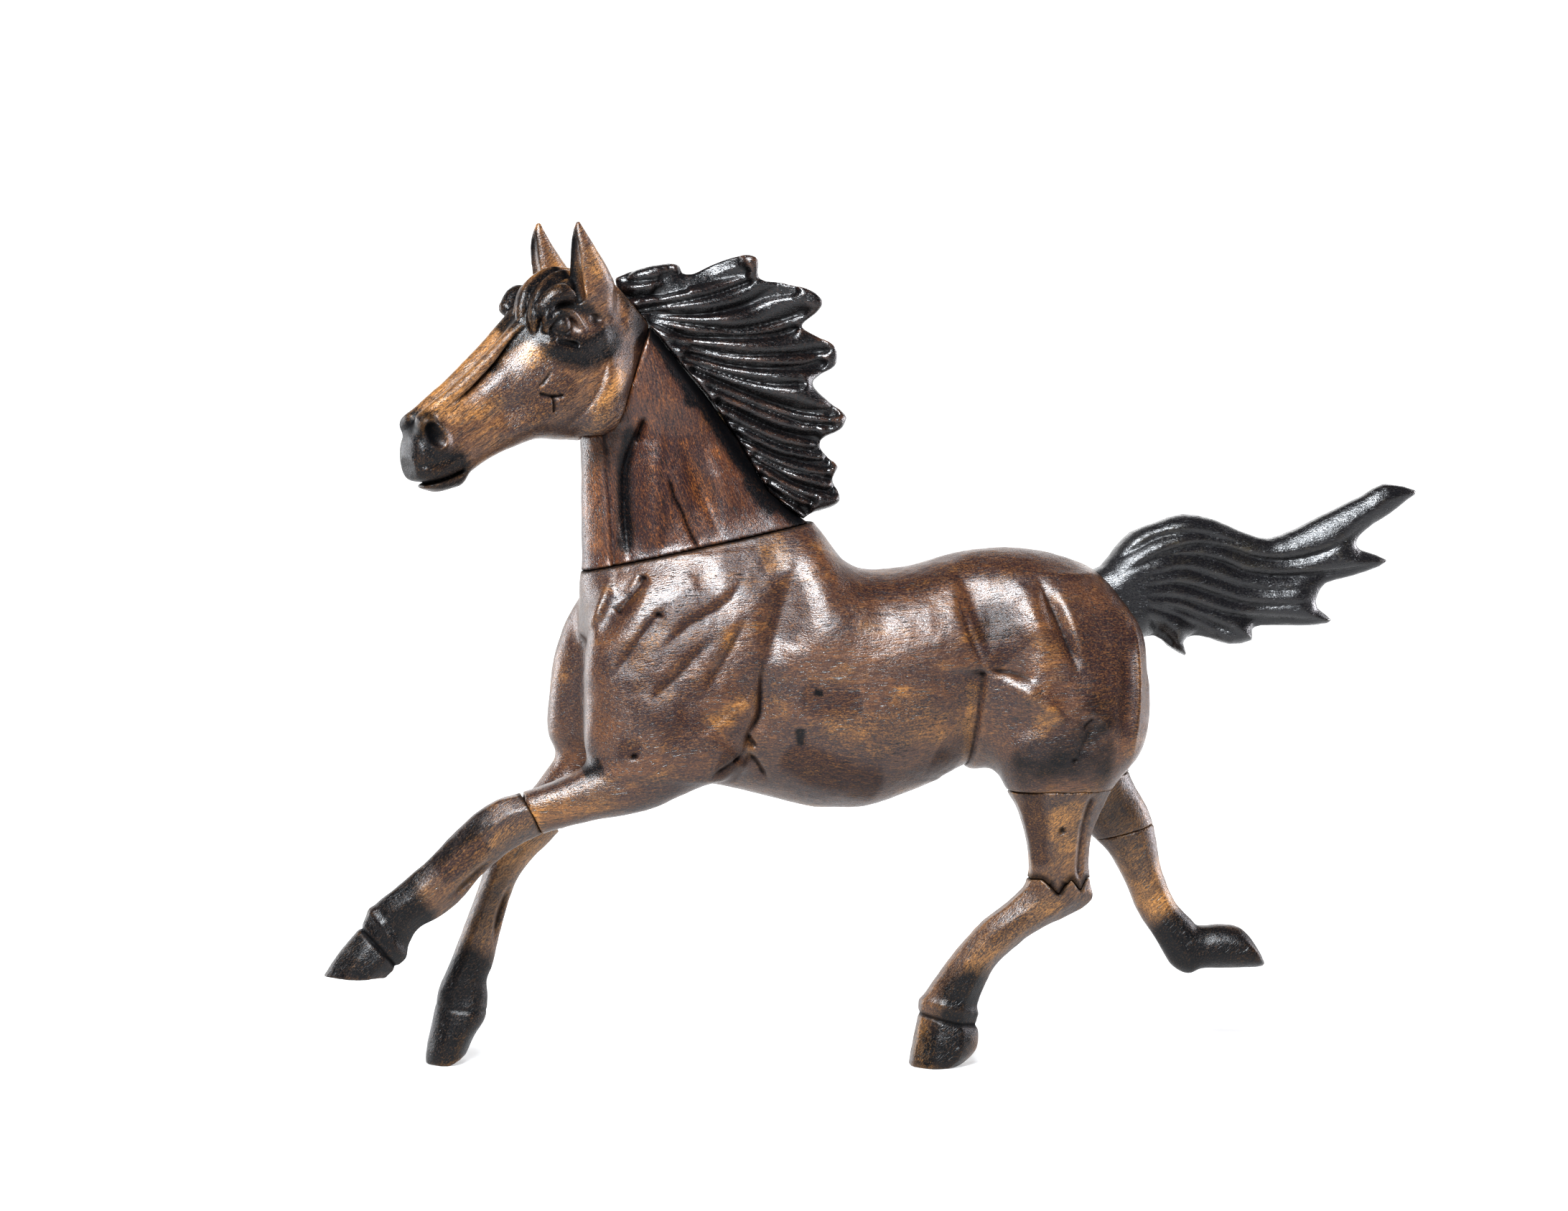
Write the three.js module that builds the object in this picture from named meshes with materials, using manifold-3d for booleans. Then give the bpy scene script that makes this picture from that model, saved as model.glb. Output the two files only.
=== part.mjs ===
// Carved wooden figurine of a galloping horse, glued up from blocks with hidden dowels.
// Millimetres, +Z up. The horse gallops toward -X and its left ("near") side faces -Y.
// It stands on the near hind hoof and the toe of the off fore hoof.
import * as THREE from "three";
import { mergeVertices } from "three/addons/utils/BufferGeometryUtils.js";
import Module from "manifold-3d";

const wasm = await Module();
wasm.setup();

// ---------------------------------------------------------------- driving dimensions
const SEAM_GAP = 0.3; // dry space left across each glue line
const HALF_GAP = SEAM_GAP / 2;
const DOWEL_CLEARANCE = 0.3; // radial, and at each end of a dowel
const FLOOR_Z = 0; // both standing hooves are cut flat here
// Points round each section, and spans made between each pair of carved sections.
const BODY = { ring: 18, spans: 1 };
const LIMB = { ring: 14, spans: 1 };
const LOCK = { ring: 10, spans: 2 };
const BARREL_SQUARENESS = 2.3; // 2 is an ellipse, more is boxier
const LIMB_SQUARENESS = 2.4;
const LOCK_SQUARENESS = 2.2;
const BIG = 600; // side of the cutting blocks

// Outline sections: [x, z] at the fore or upper edge, [x, z] at the hind or lower edge,
// half width along Y, and the section's own centre in Y.
const BARREL = [
  [-78.5, 93, -78.5, 135, 13, 0],
  [-76, 89, -76, 138.5, 16, 0],
  [-68, 83, -68, 142, 19, 0],
  [-57, 80.5, -57, 146, 20.5, 0],
  [-45, 79.5, -44, 149, 21.5, 0],
  [-31, 76.5, -30, 152, 22, 0],
  [-17, 73, -17, 150.5, 23.5, 0],
  [-8, 72.6, -8, 142, 24.5, 0],
  [0, 73.2, 0, 139, 25, 0],
  [12, 77.3, 12, 140.3, 25, 0],
  [24, 81.8, 24, 143.8, 24.5, 0],
  [36, 84, 36, 145.4, 24.5, 0],
  [48, 86, 48, 144.5, 24, 0],
  [60, 88, 59, 141.5, 21, 0],
  [69, 92, 67, 136, 15.5, 0],
  [73, 100, 71, 128, 8, 0],
];
const NEAR_SHOULDER = [
  [-60, 142, -30, 144, 6, -9],
  [-74, 132, -25, 131, 9.5, -11.5],
  [-80, 117, -28, 116, 11, -13],
  [-80.8, 102, -31, 102, 11, -13.5],
  [-80.8, 92, -36, 90, 10.5, -14],
  [-79, 86, -42, 82, 9, -14],
];
const OFF_SHOULDER = [
  [-64, 142, -34, 144, 6, 9],
  [-80, 130, -31, 131, 9.5, 11.5],
  [-86.5, 116, -34, 116, 11, 12.5],
  [-88.5, 102, -38, 102, 11, 13],
  [-88.5, 92, -44, 90, 10, 13],
  [-85, 86, -52, 82, 9, 13],
];
const NEAR_FORELEG = [
  [-66, 93, -50, 79.5, 9, -14],
  [-76, 88, -64, 73.6, 8.4, -14],
  [-87, 82.6, -79, 70.8, 7.2, -14],
  [-97, 78.9, -90.5, 68, 6.4, -13.8],
  [-104, 76.8, -97.5, 64.8, 6.2, -13.4],
  [-110.5, 72.8, -103.2, 61, 5.8, -13.1],
  [-117, 66.5, -109, 55.6, 5.1, -12.8],
  [-123.5, 60, -115, 48.4, 4.7, -12.4],
  [-130, 54.2, -120.5, 44.3, 4.8, -12.2],
  [-136, 49.3, -125.5, 41.5, 5.2, -12],
  [-139.6, 45, -128.2, 37.2, 5, -12],
  [-141.6, 41.6, -129.4, 33.4, 5.6, -12],
  [-147.3, 35, -131.4, 31.2, 6.6, -12],
  [-151.5, 28.6, -134.6, 28.1, 6.9, -12],
];
const OFF_FORELEG = [
  [-74, 94, -58, 80, 8.6, 13],
  [-84, 87.5, -71, 72.6, 8, 13],
  [-91.6, 78.4, -83, 66.6, 7, 12.6],
  [-100.4, 67.6, -89.4, 60.8, 6.2, 12.2],
  [-105.4, 58.4, -93.4, 56.9, 6, 11.9],
  [-107.4, 51, -97.6, 51, 5.6, 11.6],
  [-110.2, 43.2, -100.2, 43.2, 4.8, 11.3],
  [-113, 35.6, -102.2, 35.6, 4.6, 11.1],
  [-115.8, 28.4, -103.9, 28.4, 4.8, 11],
  [-118.4, 21.4, -106.5, 23.6, 5.1, 11],
  [-119.4, 17, -106.2, 18.6, 5.3, 11],
  [-120.4, 11, -107.6, 12.4, 6.4, 11],
  [-122.2, 3.4, -110.4, 8, 7, 11],
  [-122.2, -3, -113, 2.6, 6.4, 11],
];
const NEAR_HIND = [
  [33, 136, 61, 138, 7, -8.5],
  [29, 124, 73.5, 126, 11.5, -11.5],
  [29, 110, 77.4, 110, 13, -13],
  [30.5, 97, 77, 98, 13, -13.6],
  [32.5, 88, 74.5, 89, 12, -13.6],
  [36.5, 79.8, 68, 80.4, 9.8, -13],
  [40.2, 73.6, 64.8, 74.2, 8.2, -12.2],
  [42.8, 66.4, 61.9, 66.6, 7.2, -11.4],
  [44.2, 59, 61, 59, 6.6, -10.6],
  [43.6, 51.8, 61.8, 52, 6.3, -9.9],
  [39, 46.6, 61.4, 46, 6, -9.3],
  [31.8, 40.8, 46, 37.2, 5.6, -8],
  [24.4, 32, 36.6, 29.4, 5.2, -6.8],
  [18.2, 23.2, 32.4, 21.6, 5.4, -5.9],
  [14.6, 17, 30.8, 16.4, 5.8, -5.3],
  [14.2, 13.4, 30.8, 12.6, 6.1, -5.1],
  [13, 7, 31.4, 8.8, 7.2, -5],
  [12.2, 2, 30.6, 4.6, 7.6, -5],
  [12, -0.6, 27, 1, 7.4, -5],
  [12.4, -2.4, 21, -2.4, 6.4, -5],
];
const OFF_HIND = [
  [42, 134, 64, 136, 8, 8.5],
  [40, 122, 74, 124, 11.5, 11.5],
  [43, 108, 78, 110, 12.5, 13],
  [46, 95, 78, 98, 12, 13.4],
  [52, 84, 77, 89, 10.6, 13.4],
  [60, 71.4, 78, 79.6, 8.6, 13.2],
  [67.2, 62.6, 83.6, 69.6, 7, 13],
  [72.2, 57.6, 85.8, 62.4, 6.4, 13],
  [77.2, 49.4, 88, 51.6, 5.4, 13],
  [81.2, 40.4, 91.8, 43.2, 5, 13],
  [86.4, 32.4, 97, 37.4, 5, 13],
  [91, 25, 98.6, 36, 5.2, 13],
  [95.6, 22.2, 101.4, 35.8, 5.4, 13],
  [100.4, 23.6, 105.2, 36.2, 6, 13],
  [109, 23.6, 111, 35.4, 6.8, 13],
  [115.8, 23.8, 115.2, 31, 6.6, 13],
  [118.2, 24.2, 117.8, 26.6, 3.6, 13],
];
const NECK = [
  [-80.4, 122, -12, 137, 14, 0],
  [-80.4, 138, -17, 152, 13.4, 0],
  [-80.6, 152, -25.4, 158.6, 12.4, 0],
  [-80.8, 165, -32.6, 168.4, 11.6, 0],
  [-81, 176, -39, 177.6, 11, -0.4],
  [-78, 188, -46.8, 187.6, 10.2, -1],
  [-76, 202, -57.6, 200.4, 9, -2],
  [-76, 213, -66, 210.6, 7.6, -3],
];
const HEAD = [
  [-68, 220, -58, 204, 7.6, -2.4],
  [-77, 220, -63.8, 196, 10.2, -4],
  [-89, 219.4, -66, 187, 12.6, -8.4],
  [-98, 216.4, -73.4, 178.6, 13, -12.4],
  [-102.6, 208, -84.4, 177, 12, -16.6],
  [-106.4, 199.6, -94.6, 175.8, 9.6, -20.6],
  [-112.6, 191.6, -103, 172.8, 7.6, -24.8],
  [-119.6, 185, -109.6, 168.4, 6.6, -28.6],
  [-126.4, 180.4, -111.6, 164.4, 7, -31.4],
  [-130.6, 174.4, -117, 161.6, 6.6, -34],
  [-130.4, 169, -123, 161.4, 4.8, -35],
];
const NEAR_EAR = [
  [-90, 211, -73, 209, 3.6, -16],
  [-87, 217, -74, 217.4, 3.4, -18.4],
  [-85.6, 223.4, -77, 224.4, 3, -19.4],
  [-84.6, 230.4, -80.2, 230.6, 2, -19.8],
  [-83.6, 234.4, -82, 234.4, 0.9, -19.6],
];
const OFF_EAR = [
  [-95, 211, -82, 211, 3.4, -2.4],
  [-94.8, 217, -83.6, 218, 3.2, -3],
  [-94.6, 223.6, -86.4, 224.4, 2.8, -3.4],
  [-94.2, 230, -89.4, 230.2, 1.9, -3.6],
  [-93, 233.6, -91.6, 233.6, 0.9, -3.6],
];
const MANE_ROOT = [
  [-70, 221, -63, 206, 6, -2.4],
  [-61, 222, -53, 192, 7.6, -2],
  [-46, 219, -41.6, 178, 8.4, -1.4],
  [-30, 200, -34.8, 166, 8.2, -1],
  [-21, 176, -29, 158.6, 7.6, -0.6],
  [-14.6, 160.6, -21, 152.4, 5.6, 0],
];
const MANE_LOCKS = [
  [
    [-71, 221, -66, 208, 5.6, -3],
    [-62, 223.4, -58, 213, 5, -4],
    [-55, 223.6, -54, 217, 2.6, -4.6],
  ],
  [
    [-62, 219, -57, 200, 6.6, -2],
    [-50, 221, -47, 207, 5.6, -3.6],
    [-39, 225.7, -36, 214, 4.6, -4.6],
    [-33.6, 225, -33, 218, 2.2, -5],
  ],
  [
    [-56, 211, -49, 192, 7, -2],
    [-38, 217.6, -35, 198, 6, -3],
    [-22, 217.8, -22, 206, 4, -4],
    [-15.4, 214, -16.4, 210.4, 1.6, -4.6],
  ],
  [
    [-52, 203, -43, 183, 7, -1],
    [-34, 208, -31, 190, 6, -0.6],
    [-17, 204.6, -17.6, 192.6, 4.4, 0],
    [-10.6, 201, -10.8, 195.6, 1.8, 0.4],
  ],
  [
    [-45, 192, -37, 172, 7, -1],
    [-28, 196, -25, 178, 6, -1.6],
    [-13, 186.6, -14.6, 176, 4.2, -2.2],
    [-8, 182.6, -8.8, 178.4, 1.6, -2.6],
  ],
  [
    [-37, 180, -31, 163, 7, -1],
    [-24, 182, -22.6, 164.6, 6, -0.6],
    [-13.6, 171.6, -13.8, 163.4, 3.8, 0],
    [-9.8, 168.6, -10.4, 165.4, 1.6, 0.4],
  ],
  [
    [-30, 168, -25, 156.4, 6.6, -1],
    [-21, 170, -20, 154.6, 5.6, -1.6],
    [-12, 161.4, -13, 156, 3.6, -2.2],
    [-9.2, 160.2, -9.4, 157.8, 1.4, -2.6],
  ],
];
const TAIL_LOCKS = [
  [
    [57, 141, 68, 119, 6, 0],
    [66, 142.6, 77, 120, 6.4, 0],
    [78, 151.9, 85, 122.4, 7.4, 0],
    [92, 154.8, 92, 126, 7.8, 0],
    [106, 150.3, 105, 128, 7.6, 0],
    [117, 148.6, 117, 130.6, 6.8, 0],
    [130, 155, 131, 140, 5.4, -1],
    [141, 160.2, 140.6, 149.4, 4, -2],
    [149, 163.4, 149.6, 155.6, 2.8, -2.6],
    [156, 162, 156.6, 160.8, 1, -3],
  ],
  [
    [92, 150, 92, 128, 6.6, 0.6],
    [112, 146, 112, 128.6, 6.2, 1],
    [128, 147.6, 128, 134.8, 4.8, 1.4],
    [140, 145.6, 140, 138, 3.2, 1.8],
    [148, 142.5, 148, 141.4, 1, 2],
  ],
  [
    [84, 140, 88, 121, 6.4, -1],
    [104, 138, 104, 123.2, 5.8, -1.4],
    [118, 136, 118, 123.3, 4.6, -1.8],
    [128, 129, 128, 123.8, 2.6, -2],
    [132.4, 125.6, 132.4, 124.6, 0.9, -2.2],
  ],
  [
    [80, 134, 84, 119.8, 5.8, 1],
    [94, 130, 96, 120, 5, 1.6],
    [103, 126, 103.4, 118, 3.8, 2],
    [109.4, 123, 109.4, 118.7, 2, 2.2],
  ],
  [
    [74, 130, 80, 121.6, 4.4, 0],
    [82, 126, 84.6, 118.4, 3.6, -0.8],
    [89, 119, 89.4, 115.6, 1.8, -1.4],
    [90.9, 115.5, 91, 114.8, 0.8, -1.6],
  ],
];

// Glue lines, each a plane through [x, z] in side view running along Y.
const NECK_SEAM = { from: [-80.5, 138.6], to: [-17, 152.6] };
const HEAD_SEAM = { from: [-73, 176.6], to: [-61, 212] };
// The head's own side of its seat: ahead of the throat, on the jaw ledge, up the head seam.
const HEAD_SEAT = [
  [-BIG / 2, 120],
  [-83.4, 120],
  [-82, 176.2],
  HEAD_SEAM.from,
  HEAD_SEAM.to,
  [-52, BIG / 2],
  [-BIG / 2, BIG / 2],
];
// The mane's own side of its seat: behind and above the crest of the neck.
const CREST_SEAT = [
  [-73, BIG / 2],
  [-73, 217.6],
  [-65.4, 209.2],
  [-57.2, 199.4],
  [-46.4, 186.9],
  [-37.8, 175],
  [-29.4, 161],
  [-19, 152.9],
  [-14, 151.8],
  [BIG / 2, 151.8],
  [BIG / 2, BIG / 2],
];
const TAIL_SEAM = { from: [62, 141], to: [75, 119] };
const TAIL_NOTCH_HALF_WIDTH = 7.2;
const NEAR_FOREARM_SEAM = { from: [-98.4, 79], to: [-92.6, 68] };
const OFF_FOREARM_SEAM = { from: [-94.5, 76], to: [-85.5, 65] };
const NEAR_STIFLE_SEAM = { from: [36, 78.2], to: [70, 78.6] };
const OFF_STIFLE_SEAM = { from: [55, 76.4], to: [80, 81.4] };
const NEAR_HOCK_SEAM = { from: [42, 52.4], to: [63, 52.8] };
const OFF_HOCK_SEAM = { from: [66, 60.6], to: [88, 66.6] };

// Dowels: seam they cross, distance along the seam from its first point, y, radius, length.
const DOWELS = {
  neck_dowel_front: { seam: NECK_SEAM, at: 18, y: 0, radius: 4, length: 34 },
  neck_dowel_rear: { seam: NECK_SEAM, at: 46, y: 0, radius: 3, length: 20 },
  head_dowel: { seam: HEAD_SEAM, at: 17, y: -3, radius: 3, length: 20 },
  tail_dowel: { seam: TAIL_SEAM, at: 12, y: 0, radius: 3, length: 24 },
  near_foreleg_dowel: { seam: NEAR_FOREARM_SEAM, at: 6.2, y: -13.8, radius: 2, length: 18 },
  off_foreleg_dowel: { seam: OFF_FOREARM_SEAM, at: 7, y: 12.6, radius: 2, length: 18 },
  near_stifle_dowel: { seam: NEAR_STIFLE_SEAM, at: 16.5, y: -12.7, radius: 3, length: 24 },
  off_stifle_dowel: { seam: OFF_STIFLE_SEAM, at: 13, y: 13.2, radius: 3, length: 22 },
  near_hock_dowel: { seam: NEAR_HOCK_SEAM, at: 10.6, y: -10, radius: 2.2, length: 14 },
  off_hock_dowel: { seam: OFF_HOCK_SEAM, at: 11, y: 13, radius: 2.2, length: 16 },
};
// The mane is pegged square to the crest of the neck: [x, z] on the crest line, y.
const MANE_PEGS = {
  mane_peg_upper: { point: [-42.1, 180.95], along: [0.811, 0.586], y: -1 },
  mane_peg_lower: { point: [-33.6, 168], along: [0.857, 0.515], y: -0.6 },
};
const PEG_RADIUS = 2;
const PEG_LENGTH = 16;

// Finishes
const COLOURS = {
  body_wood: { colour: 0x6b4a33, roughness: 0.42 },
  neck_wood: { colour: 0x6f4c34, roughness: 0.45 },
  head_wood: { colour: 0x74513a, roughness: 0.45 },
  leg_wood: { colour: 0x7d5b38, roughness: 0.5 },
  mane_wood: { colour: 0x1d1b1d, roughness: 0.38 },
  tail_wood: { colour: 0x26242a, roughness: 0.42 },
  peg_wood: { colour: 0xc9a878, roughness: 0.75 },
};

// ---------------------------------------------------------------- solids
function solidOf(geometry) {
  const bare = geometry.clone();
  bare.deleteAttribute("normal");
  bare.deleteAttribute("uv");
  const merged = mergeVertices(bare, 1e-4);
  return new wasm.Manifold(
    new wasm.Mesh({
      numProp: 3,
      vertProperties: new Float32Array(merged.attributes.position.array),
      triVerts: new Uint32Array(merged.index.array),
    }),
  );
}

function catmull(a, b, c, d, t) {
  const rise = (c - a) / 2;
  const fall = (d - b) / 2;
  const cubic = 2 * b - 2 * c + rise + fall;
  const square = -3 * b + 3 * c - 2 * rise - fall;
  return ((cubic * t + square) * t + rise) * t + b;
}

// Adds spans - 1 blended sections between each pair of carved ones.
function blend(sections, spans) {
  const rows = [];
  const last = sections.length - 1;
  for (let i = 0; i < last; i += 1) {
    const before = sections[Math.max(i - 1, 0)];
    const after = sections[Math.min(i + 2, last)];
    for (let s = 0; s < spans; s += 1) {
      const t = s / spans;
      rows.push(sections[i].map((v, k) => catmull(before[k], v, sections[i + 1][k], after[k], t)));
    }
  }
  rows.push(sections[last]);
  return rows;
}

// A closed skin through rounded sections; each end is closed by a fan to its centre.
function loft(sections, squareness, { ring, spans }) {
  const rows = blend(sections, spans);
  const positions = [];
  const index = [];
  const power = 2 / squareness;
  for (const [x0, z0, x1, z1, halfWidth, y] of rows) {
    for (let k = 0; k < ring; k += 1) {
      const angle = (2 * Math.PI * k) / ring;
      const c = Math.sign(Math.cos(angle)) * Math.abs(Math.cos(angle)) ** power;
      const s = Math.sign(Math.sin(angle)) * Math.abs(Math.sin(angle)) ** power;
      positions.push(
        (x0 + x1) / 2 + (c * (x1 - x0)) / 2,
        y + s * halfWidth,
        (z0 + z1) / 2 + (c * (z1 - z0)) / 2,
      );
    }
  }
  for (let r = 0; r + 1 < rows.length; r += 1) {
    for (let k = 0; k < ring; k += 1) {
      const a = r * ring + k;
      const b = r * ring + ((k + 1) % ring);
      index.push(a, b, a + ring, b, b + ring, a + ring);
    }
  }
  for (const [row, flip] of [[0, true], [rows.length - 1, false]]) {
    const [x0, z0, x1, z1, , y] = rows[row];
    const centre = positions.length / 3;
    positions.push((x0 + x1) / 2, y, (z0 + z1) / 2);
    for (let k = 0; k < ring; k += 1) {
      const a = row * ring + k;
      const b = row * ring + ((k + 1) % ring);
      index.push(...(flip ? [b, a, centre] : [a, b, centre]));
    }
  }
  const geometry = new THREE.BufferGeometry();
  geometry.setAttribute("position", new THREE.Float32BufferAttribute(positions, 3));
  geometry.setIndex(index);
  const solid = solidOf(geometry);
  if (solid.volume() > 0) {
    return solid;
  }
  // Sections listed in the other order come out inside out, so their faces are turned round.
  for (let i = 0; i < index.length; i += 3) {
    [index[i], index[i + 1]] = [index[i + 1], index[i]];
  }
  geometry.setIndex(index);
  return solidOf(geometry);
}

function join(solids) {
  return solids.reduce((sum, solid) => sum.add(solid));
}

// A block whose flat face is the seam, moved off it by `offset`, on the seam's left side
// as seen travelling from its first point to its second with -Y toward the viewer.
function blockAbove(seam, offset) {
  const dx = seam.to[0] - seam.from[0];
  const dz = seam.to[1] - seam.from[1];
  const block = new THREE.BoxGeometry(BIG, BIG, BIG);
  block.translate(0, 0, BIG / 2 + offset);
  block.rotateY(-Math.atan2(dz, dx));
  block.translate(seam.from[0], 0, seam.from[1]);
  return solidOf(block);
}

function above(solid, seam) {
  return solid.intersect(blockAbove(seam, HALF_GAP));
}

function below(solid, seam) {
  return solid.subtract(blockAbove(seam, -HALF_GAP));
}

// A seat outline run right through along Y, moved by `dx` and `dz`.
function seatPrism(outline, dx, dz) {
  const shape = new THREE.Shape();
  shape.moveTo(outline[0][0] + dx, outline[0][1] + dz);
  for (const [x, z] of outline.slice(1)) {
    shape.lineTo(x + dx, z + dz);
  }
  shape.closePath();
  const prism = new THREE.ExtrudeGeometry(shape, { depth: BIG, bevelEnabled: false });
  prism.translate(0, 0, -BIG / 2);
  prism.rotateX(Math.PI / 2);
  return solidOf(prism);
}

function rod(radius, length, point, direction, y) {
  const cylinder = new THREE.CylinderGeometry(radius, radius, length, LOCK.ring);
  const axis = new THREE.Vector3(direction[0], 0, direction[1]).normalize();
  const turn = new THREE.Quaternion().setFromUnitVectors(new THREE.Vector3(0, 1, 0), axis);
  cylinder.applyQuaternion(turn);
  cylinder.translate(point[0], y, point[1]);
  return solidOf(cylinder);
}

function seamPoint({ seam, at }) {
  const dx = seam.to[0] - seam.from[0];
  const dz = seam.to[1] - seam.from[1];
  const length = Math.hypot(dx, dz);
  return {
    point: [seam.from[0] + (dx / length) * at, seam.from[1] + (dz / length) * at],
    square: [-dz / length, dx / length],
  };
}

// ---------------------------------------------------------------- blocks
const aboveFloor = blockAbove({ from: [0, FLOOR_Z], to: [1, FLOOR_Z] }, 0);
const nearFore = loft(NEAR_FORELEG, LIMB_SQUARENESS, LIMB);
const offFore = loft(OFF_FORELEG, LIMB_SQUARENESS, LIMB).intersect(aboveFloor);
const nearHind = loft(NEAR_HIND, LIMB_SQUARENESS, LIMB).intersect(aboveFloor);
const offHind = loft(OFF_HIND, LIMB_SQUARENESS, LIMB);
const neckBlank = loft(NECK, BARREL_SQUARENESS, BODY);

// The tail root drops into a notch between the two buttocks.
const notchSlab = solidOf(new THREE.BoxGeometry(BIG, 2 * TAIL_NOTCH_HALF_WIDTH, BIG));
const tailNotch = blockAbove(TAIL_SEAM, -HALF_GAP).intersect(notchSlab);
const torso = join([
  loft(BARREL, BARREL_SQUARENESS, BODY),
  loft(NEAR_SHOULDER, BARREL_SQUARENESS, BODY),
  loft(OFF_SHOULDER, BARREL_SQUARENESS, BODY),
  neckBlank,
  above(nearFore, NEAR_FOREARM_SEAM),
  above(offFore, OFF_FOREARM_SEAM),
  above(nearHind, NEAR_STIFLE_SEAM),
  above(offHind, OFF_STIFLE_SEAM),
])
  .subtract(blockAbove(NECK_SEAM, -HALF_GAP))
  .subtract(tailNotch);

const neck = above(neckBlank, NECK_SEAM)
  .subtract(seatPrism(HEAD_SEAT, HALF_GAP, -HALF_GAP))
  .subtract(seatPrism(CREST_SEAT, -HALF_GAP, -HALF_GAP));
const head = join([
  loft(HEAD, LIMB_SQUARENESS, BODY),
  loft(NEAR_EAR, LIMB_SQUARENESS, LOCK),
  loft(OFF_EAR, LIMB_SQUARENESS, LOCK),
])
  .intersect(seatPrism(HEAD_SEAT, -HALF_GAP, HALF_GAP))
  .subtract(seatPrism(CREST_SEAT, -HALF_GAP, -HALF_GAP));
const mane = join([
  loft(MANE_ROOT, LOCK_SQUARENESS, LIMB),
  ...MANE_LOCKS.map((lock) => loft(lock, LOCK_SQUARENESS, LOCK)),
]).intersect(seatPrism(CREST_SEAT, HALF_GAP, HALF_GAP));
const tail = above(
  join(TAIL_LOCKS.map((lock) => loft(lock, LOCK_SQUARENESS, LOCK))),
  TAIL_SEAM,
);

const blocks = {
  torso: { solid: torso, finish: "body_wood" },
  neck: { solid: neck, finish: "neck_wood" },
  head: { solid: head, finish: "head_wood" },
  mane: { solid: mane, finish: "mane_wood" },
  tail: { solid: tail, finish: "tail_wood" },
  near_foreleg: { solid: below(nearFore, NEAR_FOREARM_SEAM), finish: "leg_wood" },
  off_foreleg: { solid: below(offFore, OFF_FOREARM_SEAM), finish: "leg_wood" },
  near_hind_gaskin: {
    solid: above(below(nearHind, NEAR_STIFLE_SEAM), NEAR_HOCK_SEAM),
    finish: "leg_wood",
  },
  near_hind_cannon: { solid: below(nearHind, NEAR_HOCK_SEAM), finish: "leg_wood" },
  off_hind_gaskin: {
    solid: above(below(offHind, OFF_STIFLE_SEAM), OFF_HOCK_SEAM),
    finish: "leg_wood",
  },
  off_hind_cannon: { solid: below(offHind, OFF_HOCK_SEAM), finish: "leg_wood" },
};

// ---------------------------------------------------------------- hidden pegs
const pegs = {};
for (const [name, dowel] of Object.entries(DOWELS)) {
  const { point, square } = seamPoint(dowel);
  pegs[name] = { point, along: square, y: dowel.y, radius: dowel.radius, length: dowel.length };
}
for (const [name, peg] of Object.entries(MANE_PEGS)) {
  pegs[name] = { ...peg, radius: PEG_RADIUS, length: PEG_LENGTH };
}
for (const [name, { point, along, y, radius, length }] of Object.entries(pegs)) {
  const bore = rod(radius + DOWEL_CLEARANCE, length + 2 * DOWEL_CLEARANCE, point, along, y);
  for (const block of Object.values(blocks)) {
    block.solid = block.solid.subtract(bore);
  }
  pegs[name].solid = rod(radius, length, point, along, y);
}
for (const [name, peg] of Object.entries(pegs)) {
  blocks[name] = { solid: peg.solid, finish: "peg_wood" };
}

// ---------------------------------------------------------------- assembly
function meshOf(name, solid, finish) {
  const data = solid.getMesh();
  const geometry = new THREE.BufferGeometry();
  geometry.setAttribute("position", new THREE.Float32BufferAttribute(data.vertProperties, 3));
  geometry.setIndex(Array.from(data.triVerts));
  geometry.computeVertexNormals();
  const { colour, roughness } = COLOURS[finish];
  const material = new THREE.MeshStandardMaterial({ color: colour, roughness, metalness: 0 });
  material.name = finish;
  const mesh = new THREE.Mesh(geometry, material);
  mesh.name = name;
  return mesh;
}

const group = new THREE.Group();
group.name = "galloping_horse_figurine";
for (const [name, { solid, finish }] of Object.entries(blocks)) {
  group.add(meshOf(name, solid, finish));
}

// The origin is the point on the floor under the middle of the bounding box.
const bounds = new THREE.Box3().setFromObject(group);
const middle = bounds.getCenter(new THREE.Vector3());
for (const mesh of group.children) {
  mesh.geometry.translate(-middle.x, -middle.y, -bounds.min.z);
}

export default group;
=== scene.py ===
"""Looks of the carved galloping horse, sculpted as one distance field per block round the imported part.

Shapes are written in the part's design millimetres: the horse gallops toward -X, its near (left)
side faces -Y and the floor is Z 0. Each block is lofted or cut as a relief, carved with strokes, cut
along its glue lines and meshed, and its stains are kept as vertex attributes that the wood shaders read.
"""

import math

import bpy
import numpy as np
import openvdb as vdb
from mathutils import Matrix, Vector


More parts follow.
